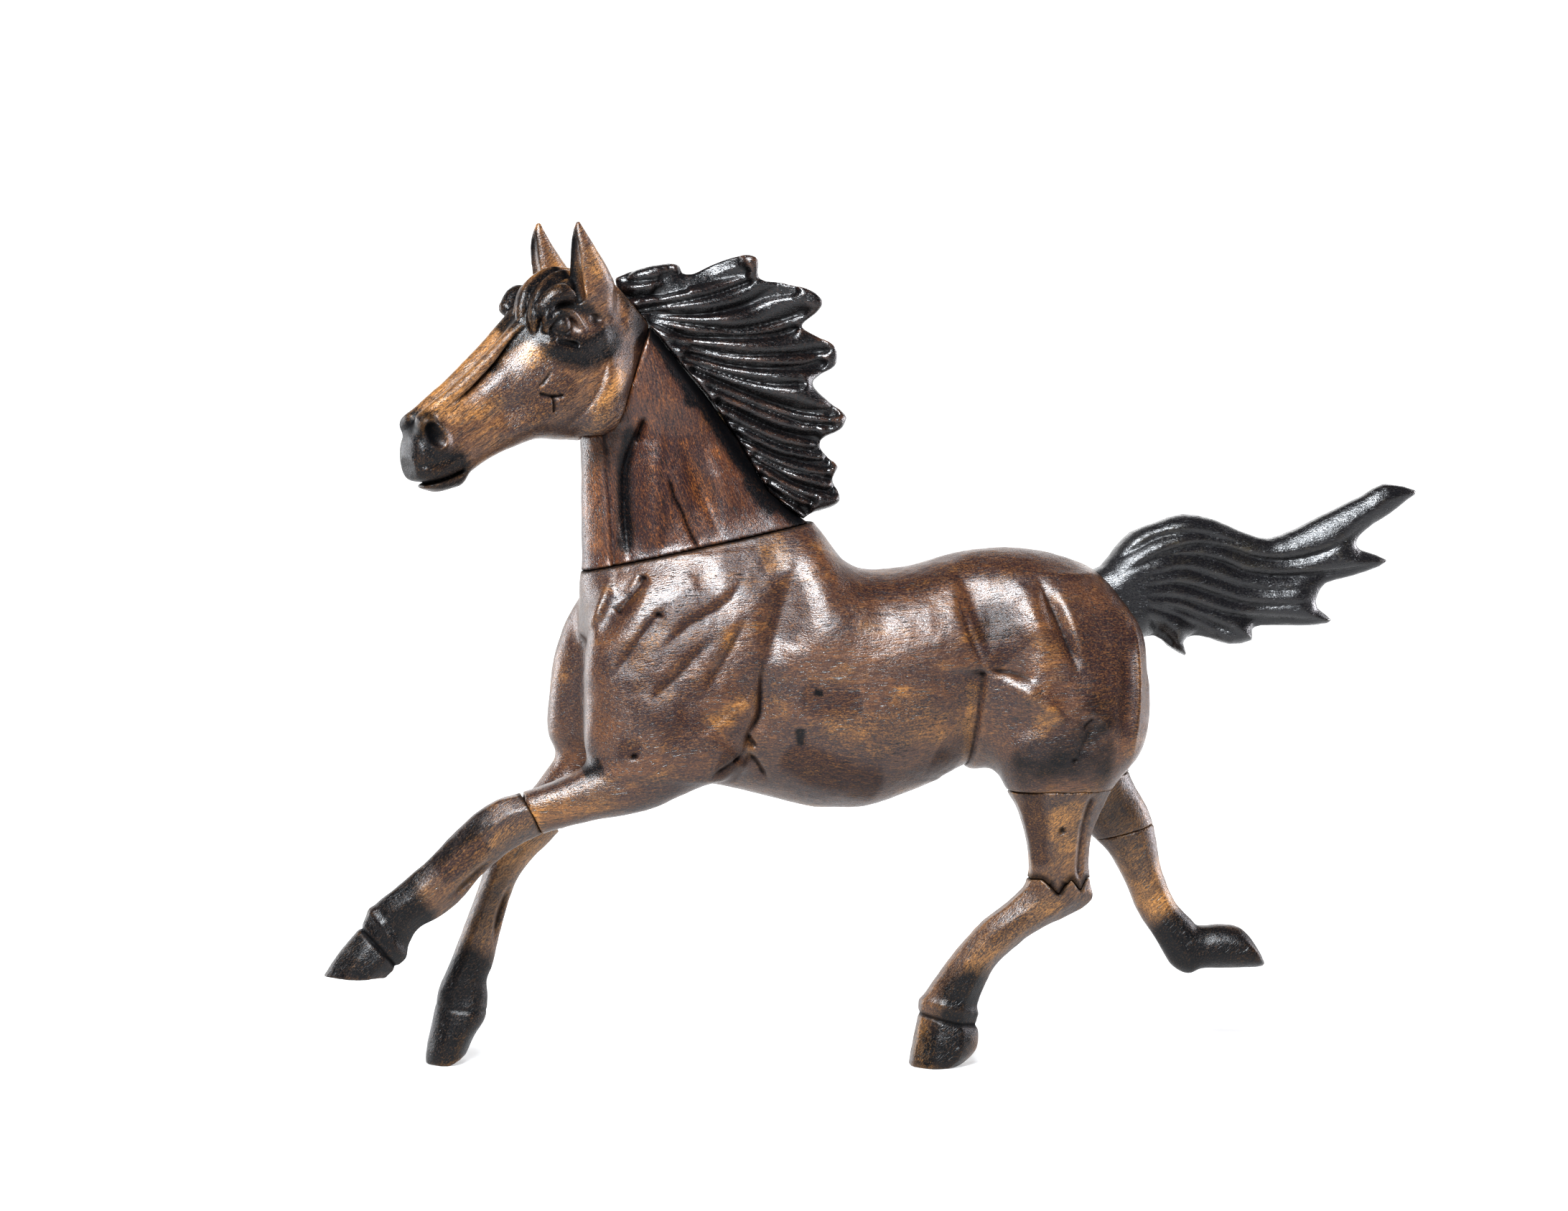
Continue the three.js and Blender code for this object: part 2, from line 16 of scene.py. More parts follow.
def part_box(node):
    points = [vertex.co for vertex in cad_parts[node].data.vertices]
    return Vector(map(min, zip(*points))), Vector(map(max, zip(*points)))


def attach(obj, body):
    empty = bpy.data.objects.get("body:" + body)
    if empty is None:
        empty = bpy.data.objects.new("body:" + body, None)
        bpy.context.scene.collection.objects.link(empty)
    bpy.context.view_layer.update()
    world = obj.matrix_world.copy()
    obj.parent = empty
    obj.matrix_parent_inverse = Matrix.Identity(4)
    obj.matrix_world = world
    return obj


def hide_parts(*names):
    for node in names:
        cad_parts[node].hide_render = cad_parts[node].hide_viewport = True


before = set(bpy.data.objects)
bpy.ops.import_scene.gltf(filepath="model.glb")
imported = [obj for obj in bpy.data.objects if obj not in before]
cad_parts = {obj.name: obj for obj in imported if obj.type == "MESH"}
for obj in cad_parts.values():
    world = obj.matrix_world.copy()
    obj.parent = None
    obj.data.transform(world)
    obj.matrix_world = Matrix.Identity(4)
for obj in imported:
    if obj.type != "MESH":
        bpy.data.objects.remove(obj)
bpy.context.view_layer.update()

# ---------------------------------------------------------------- driving dimensions (mm)
MM = 0.001
TOE_X = -151.5  # near fore toe in design millimetres
POLL_Y = -3.0  # the head dowel's own Y in design millimetres
SHIFT = Vector(
    (
        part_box("near_foreleg")[0].x / MM - TOE_X,
        (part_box("head_dowel")[0].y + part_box("head_dowel")[1].y) / 2 / MM - POLL_Y,
        0.0,
    )
)
BODY_PITCH = 0.6  # size of a sculpting cell on the torso
FINE_PITCH = 0.45  # and on everything else
BAND = 6.0  # distances further than this from a surface aren't kept
HALF_GAP = 0.06  # half of the open line between two blocks
SEAM_ROUNDING = 0.1
BARREL_SQUARENESS = 2.3
LIMB_SQUARENESS = 2.5
HEAD_TURN = math.radians(30)  # the head is turned toward the near side about the poll
POLL = (-70.0, POLL_Y)
FAR = 1e3  # beyond every block
CHAMFER = 1.38  # where a faceted leg's corners are cut, from 1 for a diamond to 2 for a square bar
BAR_SHRINK = 0.985
SIDE_FADE = 3.0  # a stroke on one side fades over this much of Y
CREASE_PROFILE = 1.15
STAIN_PROFILE = 3.0
CREASE_REACH = 5.0  # how many widths out from its line a stroke still acts
ROUND_REACH = 2.6

# Outline sections: [x, z] at the fore or upper edge, [x, z] at the hind or lower edge,
# half width along Y, and the section's own centre in Y.
BARREL = [
    [-78.5, 93, -78.5, 135, 13, 0],
    [-76, 89, -76, 138.5, 16, 0],
    [-68, 83, -68, 142, 18.5, 0],
    [-57, 80.5, -57, 146, 20, 0],
    [-45, 79.5, -44, 149, 21, 0],
    [-31, 76.5, -30, 152, 21.5, 0],
    [-17, 73, -17, 150.5, 23.5, 0],
    [-8, 72.6, -8, 142, 24.5, 0],
    [0, 73.2, 0, 139, 25, 0],
    [12, 77.3, 12, 140.3, 25, 0],
    [24, 81.8, 24, 143.8, 24, 0],
    [36, 84, 36, 145.4, 23.5, 0],
    [48, 86, 48, 144.5, 23, 0],
    [60, 88, 59, 141.5, 20, 0],
    [69, 92, 67, 136, 15, 0],
    [73, 100, 71, 128, 8, 0],
]
NEAR_SHOULDER = [
    [-60, 142, -30, 144, 6, -9],
    [-74, 132, -25, 131, 9.5, -11.5],
    [-80, 117, -28, 116, 11, -13],
    [-80.8, 102, -31, 102, 11, -13.5],
    [-80.8, 92, -36, 90, 10.5, -14],
    [-79, 86, -42, 82, 9, -14],
]
OFF_SHOULDER = [
    [-64, 142, -34, 144, 6, 9],
    [-80, 130, -31, 131, 9.5, 11.5],
    [-86.5, 116, -34, 116, 11, 12.5],
    [-88.5, 102, -38, 102, 11, 13],
    [-88.5, 92, -44, 90, 10, 13],
    [-85, 86, -52, 82, 9, 13],
]
NEAR_FORELEG = [
    [-56, 99, -38, 86, 8.6, -13.6],
    [-66, 93, -50, 79.5, 9, -14],
    [-76, 88, -64, 73.6, 8.4, -14],
    [-87, 82.6, -79, 70.8, 7.2, -14],
    [-97, 78.9, -90.5, 68, 6.4, -13.8],
    [-104, 76.8, -97.5, 64.8, 6.2, -13.4],
    [-110.5, 72.8, -103.2, 61, 5.8, -13.1],
    [-117, 66.5, -109, 55.6, 5.1, -12.8],
    [-123.5, 60, -115, 48.4, 4.7, -12.4],
    [-130, 54.2, -120.5, 44.3, 4.8, -12.2],
    [-136, 49.3, -125.5, 41.5, 5.2, -12],
    [-139.6, 45, -128.2, 37.2, 5, -12],
    [-141.6, 41.6, -129.4, 33.4, 5.6, -12],
    [-147.3, 35, -131.4, 31.2, 6.6, -12],
    [-151.5, 28.6, -134.6, 28.1, 6.9, -12],
]
OFF_FORELEG = [
    [-66, 100, -46, 87, 8.4, 13],
    [-74, 94, -58, 80, 8.6, 13],
    [-84, 87.5, -71, 72.6, 8, 13],
    [-91.6, 78.4, -83, 66.6, 7, 12.6],
    [-100.4, 67.6, -89.4, 60.8, 6.2, 12.2],
    [-105.4, 58.4, -93.4, 56.9, 6, 11.9],
    [-107.4, 51, -97.6, 51, 5.6, 11.6],
    [-110.2, 43.2, -100.2, 43.2, 4.8, 11.3],
    [-113, 35.6, -102.2, 35.6, 4.6, 11.1],
    [-115.8, 28.4, -103.9, 28.4, 4.8, 11],
    [-118.8, 21.4, -105.6, 23.6, 5.2, 11],
    [-119.8, 17, -105.4, 18.6, 5.4, 11],
    [-121, 11, -106, 12.8, 6.6, 11],
    [-122.4, 3.4, -108.8, 8.2, 7, 11],
    [-122.4, -3, -111.4, 2.6, 6.4, 11],
]
NEAR_HIND = [
    [33, 136, 61, 138, 7, -8.5],
    [29, 124, 73.5, 126, 11.5, -11.5],
    [29, 110, 77.4, 110, 13, -13],
    [30.5, 97, 77, 98, 13, -13.6],
    [32.5, 88, 74.5, 89, 12, -13.6],
    [36.5, 79.8, 68, 80.4, 9.8, -13],
    [40.2, 73.6, 64.8, 74.2, 8.2, -12.2],
    [42.8, 66.4, 61.9, 66.6, 7.2, -11.4],
    [44.2, 59, 61, 59, 6.6, -10.6],
    [43.6, 51.8, 61.8, 52, 6.3, -9.9],
    [39, 46.6, 61.4, 46, 6, -9.3],
    [31.8, 40.8, 46, 37.2, 5.6, -8],
    [24.4, 32, 36.6, 29.4, 5.2, -6.8],
    [18.2, 23.2, 32.4, 21.6, 5.4, -5.9],
    [14.6, 17, 30.8, 16.4, 5.8, -5.3],
    [14.2, 13.4, 30.8, 12.6, 6.1, -5.1],
    [13, 7, 31.4, 8.8, 7.2, -5],
    [12.2, 2, 30.6, 4.6, 7.6, -5],
    [12, -0.6, 27, 1, 7.4, -5],
    [12.4, -2.4, 21, -2.4, 6.4, -5],
]
OFF_HIND = [
    [42, 134, 64, 136, 8, 8.5],
    [40, 122, 74, 124, 11.5, 11.5],
    [43, 108, 78, 110, 12.5, 13],
    [46, 95, 78, 98, 12, 13.4],
    [52, 84, 77, 89, 10.6, 13.4],
    [60, 71.4, 78, 79.6, 8.6, 13.2],
    [67.2, 62.6, 83.6, 69.6, 7, 13],
    [72.2, 57.6, 85.8, 62.4, 6.4, 13],
    [77.2, 49.4, 88, 51.6, 5.4, 13],
    [81.2, 40.4, 91.8, 43.2, 5, 13],
    [86.4, 32.4, 97, 37.4, 5, 13],
    [91, 25, 98.6, 36, 5.2, 13],
    [95.6, 22.2, 101.4, 35.8, 5.4, 13],
    [100.4, 23.6, 105.2, 36.2, 6, 13],
    [109, 23.6, 111, 35.4, 6.8, 13],
    [115.8, 23.8, 115.2, 31, 6.6, 13],
    [118.2, 24.2, 117.8, 26.6, 3.6, 13],
]
NECK = [
    [-80.4, 122, -12, 137, 14, 0],
    [-80.4, 138, -17, 152, 13.4, 0],
    [-80.6, 152, -25.4, 158.6, 12.4, 0],
    [-80.8, 165, -32.6, 168.4, 11.6, 0],
    [-81, 176, -39, 177.6, 11, -0.4],
    [-78, 188, -46.8, 187.6, 11.2, -1.8],
    [-76, 202, -57.6, 200.4, 10.4, -3],
    [-76, 213, -66, 210.6, 9, -4],
]
# The head's own frame: x runs back from the poll at 0 to the muzzle at -71, y is 0 midway.
HEAD = [
    [3, 219, 7, 206, 7, 0],
    [-6, 219.6, 3, 196.4, 9.5, 0],
    [-16, 219, -2, 182, 11.4, 0],
    [-25, 216.6, -10, 175.2, 12.2, 0],
    [-32, 211.6, -19, 175, 12, 0],
    [-37.5, 205.8, -29.4, 175.2, 10.2, 0],
    [-42.6, 200.4, -37.6, 172.8, 8.2, 0],
    [-48, 194.8, -44, 170.2, 6.8, 0],
    [-54, 189.2, -49.4, 167.2, 6, 0],
    [-60.5, 184.4, -54.4, 163.6, 5.9, 0],
    [-66.2, 180.6, -60, 161.8, 6.1, 0],
    [-69.2, 175.8, -65.2, 162.2, 5.6, 0],
    [-70, 170.8, -68, 164.4, 3.6, 0],
]
EAR = [
    [-22, 210, -7, 208, 3.4, 8],
    [-23, 217, -8.6, 215.4, 3.6, 8.8],
    [-23.4, 222, -12, 221.4, 3.3, 9.4],
    [-23.4, 227, -16.4, 227, 2.6, 9.7],
    [-23, 231, -19.2, 231, 1.6, 9.6],
    [-21.9, 234, -21.2, 234, 0.5, 9.4],
]

# Glue lines in side view: [x, z] to [x, z].
NECK_SEAM = ((-80.5, 138.6), (-17, 152.6))
HEAD_SEAT = [
    (-200, 120),
    (-83.4, 120),
    (-82, 176.2),
    (-76.4, 176.4),
    (-72.6, 178.6),
    (-70.4, 183),
    (-68.6, 189),
    (-61, 212),
    (-52, 300),
    (-200, 300),
]
CREST_SEAT = [
    (-73, 300),
    (-73, 217.6),
    (-65.4, 209.2),
    (-57.2, 199.4),
    (-46.4, 186.9),
    (-37.8, 175),
    (-29.4, 161),
    (-19, 152.9),
    (-14, 151.8),
    (200, 151.8),
    (200, 300),
]
TAIL_SEAM = ((62, 141), (75, 119))
TAIL_NOTCH_HALF_WIDTH = 7.2
NEAR_FOREARM_SEAM = ((-98.4, 79), (-92.6, 68))
OFF_FOREARM_SEAM = ((-94.5, 76), (-85.5, 65))
NEAR_STIFLE_SEAM = ((36, 78.2), (70, 78.6))
OFF_STIFLE_SEAM = ((55, 76.4), (80, 81.4))
# The near hock's chipped line zigzags: everything inside this outline is above it.
NEAR_HOCK_SEAT = [
    (20, 200),
    (20, 53),
    (44, 53.2),
    (47.4, 53.4),
    (52, 49),
    (55.2, 53.6),
    (58.2, 50),
    (60, 53.4),
    (80, 53),
    (80, 200),
]
OFF_HOCK_SEAM = ((66, 60.6), (88, 66.6))


# ---------------------------------------------------------------- curves
def catmull(a, b, c, d, t):
    rise = (c - a) / 2
    fall = (d - b) / 2
    cubic = 2 * b - 2 * c + rise + fall
    square = -3 * b + 3 * c - 2 * rise - fall
    return ((cubic * t + square) * t + rise) * t + b


def smooth_line(points, spans):
    """A Catmull-Rom curve through the points, with `spans` steps between each pair."""
    p = np.array(points, float)
    last = len(p) - 1
    rows = []
    for i in range(last):
        before = p[max(i - 1, 0)]
        after = p[min(i + 2, last)]
        for s in range(spans):
            rows.append(catmull(before, p[i], p[i + 1], after, s / spans))
    rows.append(p[last])
    return np.array(rows)


def stroke_weight(x, z, points, width, taper, profile=2.0):
    """How strongly a stroke along the points acts at x, z: 1 on its line, fading over `width`.

    `width` may be a pair, for the left and the right of the direction of travel. A `profile` near 1
    leaves a crisp line at the bottom, 2 a round one.
    """
    left, right = width if isinstance(width, tuple) else (width, width)
    line = smooth_line(points, 5) if len(points) > 1 else np.array([points[0], points[0]], float)
    length = np.concatenate([[0], np.cumsum(np.linalg.norm(np.diff(line, axis=0), axis=1))])
    best = np.full(np.broadcast(x, z).shape, FAR)
    share = np.zeros(best.shape)
    hand = np.zeros(best.shape)
    for i in range(len(line) - 1):
        ax, az = line[i]
        dx, dz = line[i + 1] - line[i]
        size = max(dx * dx + dz * dz, 1e-9)
        t = np.clip(((x - ax) * dx + (z - az) * dz) / size, 0, 1)
        gap = np.hypot(x - ax - t * dx, z - az - t * dz)
        nearer = gap < best
        best = np.where(nearer, gap, best)
        share = np.where(nearer, (length[i] + t * (length[i + 1] - length[i])) / max(length[-1], 1e-9), share)
        hand = np.where(nearer, dx * (z - az) - dz * (x - ax), hand)
    fade = np.ones(best.shape)
    if taper and length[-1] > 0:
        fade = np.clip(np.minimum(share, 1 - share) / taper, 0, 1)
        fade = fade * fade * (3 - 2 * fade)
    reach = np.where(hand > 0, left, right) * (0.3 + 0.7 * fade)
    return fade * np.exp(-((best / reach) ** profile))


def polygon_distance(x, z, outline):
    """Signed distance to a closed outline in the XZ plane, negative inside."""
    best = np.full(np.broadcast(x, z).shape, FAR)
    inside = np.zeros(best.shape, bool)
    for i in range(len(outline)):
        ax, az = outline[i - 1]
        bx, bz = outline[i]
        dx, dz = bx - ax, bz - az
        t = np.clip(((x - ax) * dx + (z - az) * dz) / max(dx * dx + dz * dz, 1e-9), 0, 1)
        best = np.minimum(best, np.hypot(x - ax - t * dx, z - az - t * dz))
        if az != bz:
            crossing = ((az > z) != (bz > z)) & (x < dx * (z - az) / dz + ax)
            inside ^= crossing
    return np.where(inside, -best, best)


def side_of(x, z, seam):
    """Distance from a glue line, positive above it as seen with -Y toward the viewer."""
    (ax, az), (bx, bz) = seam
    length = math.hypot(bx - ax, bz - az)
    return ((z - az) * (bx - ax) - (x - ax) * (bz - az)) / length


def smooth_min(a, b, blend):
    h = np.clip(0.5 + 0.5 * (b - a) / blend, 0, 1)
    return b + (a - b) * h - blend * h * (1 - h)


def lattice_noise(points, size, seed):
    """Smooth noise from -1 to 1 that changes over about `size`."""
    p = points / size + 100.0
    cell = np.floor(p).astype(np.int64)
    f = p - cell
    f = f * f * (3 - 2 * f)
    total = np.zeros(len(p))
    for corner in range(8):
        step = np.array([corner & 1, corner >> 1 & 1, corner >> 2 & 1])
        c = cell + step
        key = (c[:, 0] * 73856093) ^ (c[:, 1] * 19349663) ^ (c[:, 2] * 83492791) ^ (seed * 2654435761)
        value = ((key ^ (key >> 13)) * 1274126177 & 0xFFFF) / 32767.5 - 1
        weight = np.prod(np.where(step, f, 1 - f), axis=1)
        total += weight * value
    return total


# ---------------------------------------------------------------- the sculpted block
class Block:
    """A signed distance field in a box: negative is wood. Strokes carve it and leave stains."""

    def __init__(self, lo, hi, pitch):
        self.pitch = pitch
        self.start = np.floor(np.array(lo) / pitch).astype(int)
        end = np.ceil(np.array(hi) / pitch).astype(int)
        self.count = end - self.start + 1
        axes = [(np.arange(n) + s) * pitch for n, s in zip(self.count, self.start)]
        self.x = axes[0][:, None, None]
        self.y = axes[1][None, :, None]
        self.z = axes[2][None, None, :]
        self.d = np.full(self.count, BAND, np.float32)
        self.stains = []
        self.middle = 0.0  # strokes on one side only fade out across this Y

    def loft(self, sections, squareness, blend=0.0, ring=48, spans=5, facets=0.0):
        """Adds a skin through rounded sections. `facets` flattens it toward a chamfered bar."""
        rows = smooth_line(sections, spans)
        angle = 2 * math.pi * np.arange(ring) / ring
        power = 2 / squareness
        c = np.sign(np.cos(angle)) * np.abs(np.cos(angle)) ** power
        s = np.sign(np.sin(angle)) * np.abs(np.sin(angle)) ** power
        if facets:
            reach = 1 / np.maximum.reduce([np.abs(c), np.abs(s), (np.abs(c) + np.abs(s)) / CHAMFER])
            bar = np.clip(reach * BAR_SHRINK, 0.9, 1.1)
            c = c * (1 + facets * (bar - 1))
            s = s * (1 + facets * (bar - 1))
        x0, z0, x1, z1, half, y = rows.T[:, :, None]
        px = (x0 + x1) / 2 + c * (x1 - x0) / 2
        py = y + s * half
        pz = (z0 + z1) / 2 + c * (z1 - z0) / 2
        skin = np.stack([px, py, pz], -1).reshape(-1, 3)
        ends = rows[[0, -1]]
        caps = np.stack([(ends[:, 0] + ends[:, 2]) / 2, ends[:, 5], (ends[:, 1] + ends[:, 3]) / 2], -1)
        points = np.vstack([skin, caps]).astype(np.float32)
        r, k = np.meshgrid(np.arange(len(rows) - 1), np.arange(ring), indexing="ij")
        a = r * ring + k
        b = r * ring + (k + 1) % ring
        quads = np.stack([a, b, b + ring, a + ring], -1).reshape(-1, 4)
        k = np.arange(ring)
        n = (k + 1) % ring
        foot = (len(rows) - 1) * ring
        tris = np.vstack([
            np.stack([n, k, np.full(ring, len(skin))], -1),
            np.stack([foot + k, foot + n, np.full(ring, len(skin) + 1)], -1),
        ])
        grid = vdb.FloatGrid.createLevelSetFromPolygons(
            points,
            triangles=tris.astype(np.uint32),
            quads=quads.astype(np.uint32),
            transform=vdb.createLinearTransform(voxelSize=self.pitch),
            halfWidth=BAND / self.pitch,
        )
        cells = self.cells_near(points.min(0) - BAND, points.max(0) + BAND)
        low = np.array([span.start for span in cells])
        high = np.array([span.stop for span in cells])
        if (high <= low).any():
            return
        added = np.empty(high - low, np.float32)
        grid.copyToArray(added, ijk=tuple(int(v) for v in low + self.start))
        self.merge(cells, added, blend)

    def merge(self, cells, added, blend):
        here = self.d[cells]
        if blend:
            self.d[cells] = smooth_min(here, added, blend)
        else:
            self.d[cells] = np.minimum(here, added)

    def cells_near(self, lo, hi):
        low = np.clip(np.floor(np.array(lo) / self.pitch).astype(int) - self.start, 0, self.count)
        high = np.clip(np.ceil(np.array(hi) / self.pitch).astype(int) - self.start + 1, 0, self.count)
        return tuple(slice(l, h) for l, h in zip(low, high))

    def tube_distance(self, cells, points, mirror):
        """Distance to a run of balls [x, y, z, radius] joined by tapering rods."""
        line = smooth_line(points, 4) if len(points) > 1 else np.array([points[0], points[0]], float)
        x = self.x[cells[0]]
        y = self.y[:, cells[1]]
        z = self.z[:, :, cells[2]]
        if mirror:
            y = np.abs(y)
        best = np.full(np.broadcast(x, y, z).shape, FAR, np.float32)
        for (ax, ay, az, ar), (bx, by, bz, br) in zip(line[:-1], line[1:]):
            dx, dy, dz = bx - ax, by - ay, bz - az
            size = max(dx * dx + dy * dy + dz * dz, 1e-9)
            t = np.clip(((x - ax) * dx + (y - ay) * dy + (z - az) * dz) / size, 0, 1)
            gap = np.sqrt((x - ax - t * dx) ** 2 + (y - ay - t * dy) ** 2 + (z - az - t * dz) ** 2)
            best = np.minimum(best, gap - (ar + t * (br - ar)))
        return best

    def tube_cells(self, points, mirror):
        p = np.array(points, float)
        reach = p[:, 3].max() + BAND
        lo = p[:, :3].min(0) - reach
        hi = p[:, :3].max(0) + reach
        if mirror:
            lo[1] = -hi[1]
        return self.cells_near(lo, hi)

    def tube(self, points, blend=1.0, mirror=False):
        cells = self.tube_cells(points, mirror)
        added = self.tube_distance(cells, points, mirror)
        self.merge(cells, added, blend)

    def dig(self, points, blend=0.6, mirror=False):
        cells = self.tube_cells(points, mirror)
        hole = self.tube_distance(cells, points, mirror)
        here = self.d[cells]
        self.d[cells] = -smooth_min(-here, hole, blend)

    def crease(self, points, left, right, depth, side=0, taper=0.35, **stains):
        """A cut with a crisp bottom that runs out over `left` and `right` of its direction."""
        self.stroke(points, (left, right), depth, side, taper, CREASE_PROFILE, **stains)

    def stroke(self, points, width, depth, side=0, taper=0.4, profile=2.0, **stains):
        """Pushes the surface in by `depth` (out when negative) along a line in side view."""
        p = np.array(points, float)
        narrow, wide = (min(width), max(width)) if isinstance(width, tuple) else (width, width)
        reach = (ROUND_REACH if profile > CREASE_PROFILE else CREASE_REACH) * wide
        low_x, low_z = p.min(0) - reach
        high_x, high_z = p.max(0) + reach
        cells = self.cells_near([low_x, -FAR, low_z], [high_x, FAR, high_z])
        x = self.x[cells[0], 0, :]
        z = self.z[0, :, cells[2]]
        weight = stroke_weight(x, z, points, width, taper, profile)[:, None, :]
        if side:
            weight = weight * self.facing(side, self.y[:, cells[1]])
        self.d[cells] += (depth * weight).astype(np.float32)
        # Marks given with a cut are painted along its line; dark and grime there are partly pooled stain and
        # dirt, partly painted shade in the cut
        for name, amount in stains.items():
            self.stain(name, points, narrow * 1.1, amount, side, taper)

    def facing(self, side, y):
        return np.clip(0.5 + side * (y - self.middle) / SIDE_FADE, 0, 1)

    def stain(self, name, points, width, amount=1.0, side=0, taper=0.15):
        self.stains.append((name, points, width, amount, side, taper))

    def keep(self, distance, rounding=0.35):
        """Cuts the block back to where `distance` is negative, with a slightly softened arris."""
        self.d = -smooth_min(-self.d, -distance.astype(np.float32), rounding)

    def above(self, seam, gap=0.0):
        self.keep(gap - side_of(self.x, self.z, seam) + 0 * self.y, SEAM_ROUNDING)

    def below(self, seam, gap=0.0):
        self.keep(gap + side_of(self.x, self.z, seam) + 0 * self.y, SEAM_ROUNDING)

    def floor(self):
        self.keep(-self.z + 0 * self.x + 0 * self.y)


# ---------------------------------------------------------------- meshing
CHANNELS = ("dark", "gold", "black", "grime", "wear")
SMOOTHING = (0.5, -0.52, 0.5)  # pulls toward and from the neighbours' mean, to take off the cell steps
HOLLOW_PASSES = 7
GRIME_SHADE_FROM, GRIME_SHADE_SPAN = 0.1, 0.26  # how deep a hollow starts to get grime and painted shade, and has it fully after
WEAR_FROM, WEAR_SPAN = 0.05, 0.25


def neighbour_mean(values, edges, count):
    """Each vertex's mean over its edge neighbours."""
    total = np.zeros((count, values.shape[1]))
    for a, b in ((0, 1), (1, 0)):
        for axis in range(values.shape[1]):
            total[:, axis] += np.bincount(edges[:, a], weights=values[edges[:, b], axis], minlength=count)
    degree = np.bincount(edges.ravel(), minlength=count)
    return total / np.maximum(degree, 1)[:, None]


def mesh_of(block, name, seed, unevenness=0.16, turn=None):
    """Meshes a block, gives it a hand-cut unevenness and stores its stains on the vertices, with grime and
    painted shade in its hollows and wear on its ridges.
    """
    grid = vdb.FloatGrid(background=BAND)
    grid.copyFromArray(np.ascontiguousarray(block.d), ijk=tuple(int(v) for v in block.start))
    grid.transform = vdb.createLinearTransform(voxelSize=block.pitch)
    points, quads = grid.convertToQuads(isovalue=0.0)
    points = points.astype(float)
    mesh = bpy.data.meshes.new(name)
    mesh.vertices.add(len(points))
    mesh.loops.add(quads.size)
    mesh.polygons.add(len(quads))
    mesh.vertices.foreach_set("co", points.ravel())
    mesh.loops.foreach_set("vertex_index", quads.astype(np.int32).ravel())
    mesh.polygons.foreach_set("loop_start", np.arange(0, quads.size, 4, dtype=np.int32))
    mesh.update(calc_edges=True)
    count = len(points)
    edges = np.zeros(len(mesh.edges) * 2, np.int32)
    mesh.edges.foreach_get("vertices", edges)
    edges = edges.reshape(-1, 2)
    for weight in SMOOTHING:
        points += weight * (neighbour_mean(points, edges, count) - points)
    normals = np.zeros(count * 3, np.float32)
    mesh.vertices.foreach_set("co", points.ravel())
    mesh.update()
    mesh.vertices.foreach_get("normal", normals)
    normals = normals.reshape(-1, 3).astype(float)

    spread = points
    for _ in range(HOLLOW_PASSES):
        spread = neighbour_mean(spread, edges, count)
    hollow = np.einsum("ij,ij->i", spread - points, normals)
    channels = {key: np.zeros(count) for key in CHANNELS}
    # Hollows get grime and painted shade, darker the deeper they sink; ridges get lighter wear
    channels["grime"] = np.clip((hollow - GRIME_SHADE_FROM) / GRIME_SHADE_SPAN, 0, 1)
    channels["wear"] = np.clip((-hollow - WEAR_FROM) / WEAR_SPAN, 0, 1)
    for key, line, width, amount, side, taper in block.stains:
        weight = stroke_weight(points[:, 0], points[:, 2], line, width, taper, STAIN_PROFILE) * amount
        if side:
            weight = weight * block.facing(side, points[:, 1])
        channels[key] = 1 - (1 - channels[key]) * (1 - np.clip(weight, -1, 1))

    relief = lattice_noise(points, 5.5, seed) + 0.4 * lattice_noise(points, 1.9, seed + 1)
    points = points + normals * (unevenness * relief * (1 - channels["grime"] * 0.5))[:, None]
    if turn:
        c, s = math.cos(turn), math.sin(turn)
        x = points[:, 0].copy()
        y = points[:, 1].copy()
        points[:, 0] = POLL[0] + x * c - y * s
        points[:, 1] = POLL[1] + x * s + y * c
    points[:, 2] = np.maximum(points[:, 2], 0.0)
    points = (points + np.array(SHIFT)) * MM
    mesh.vertices.foreach_set("co", points.ravel())
    for key, values in channels.items():
        attribute = mesh.attributes.new(key, "FLOAT", "POINT")
        attribute.data.foreach_set("value", np.clip(values, 0, 1).astype(np.float32))
    mesh.polygons.foreach_set("use_smooth", np.ones(len(quads), bool))
    mesh.update()
    piece = bpy.data.objects.new(name, mesh)
    bpy.context.scene.collection.objects.link(piece)
    return piece


def place(block, node, slot, material, seed, **options):
    piece = mesh_of(block, node + "_carved", seed, **options)
    piece.data.materials.append(material)
    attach(piece, "root")
    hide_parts(node)
    print(piece.name, len(piece.data.polygons) * 2, "triangles")


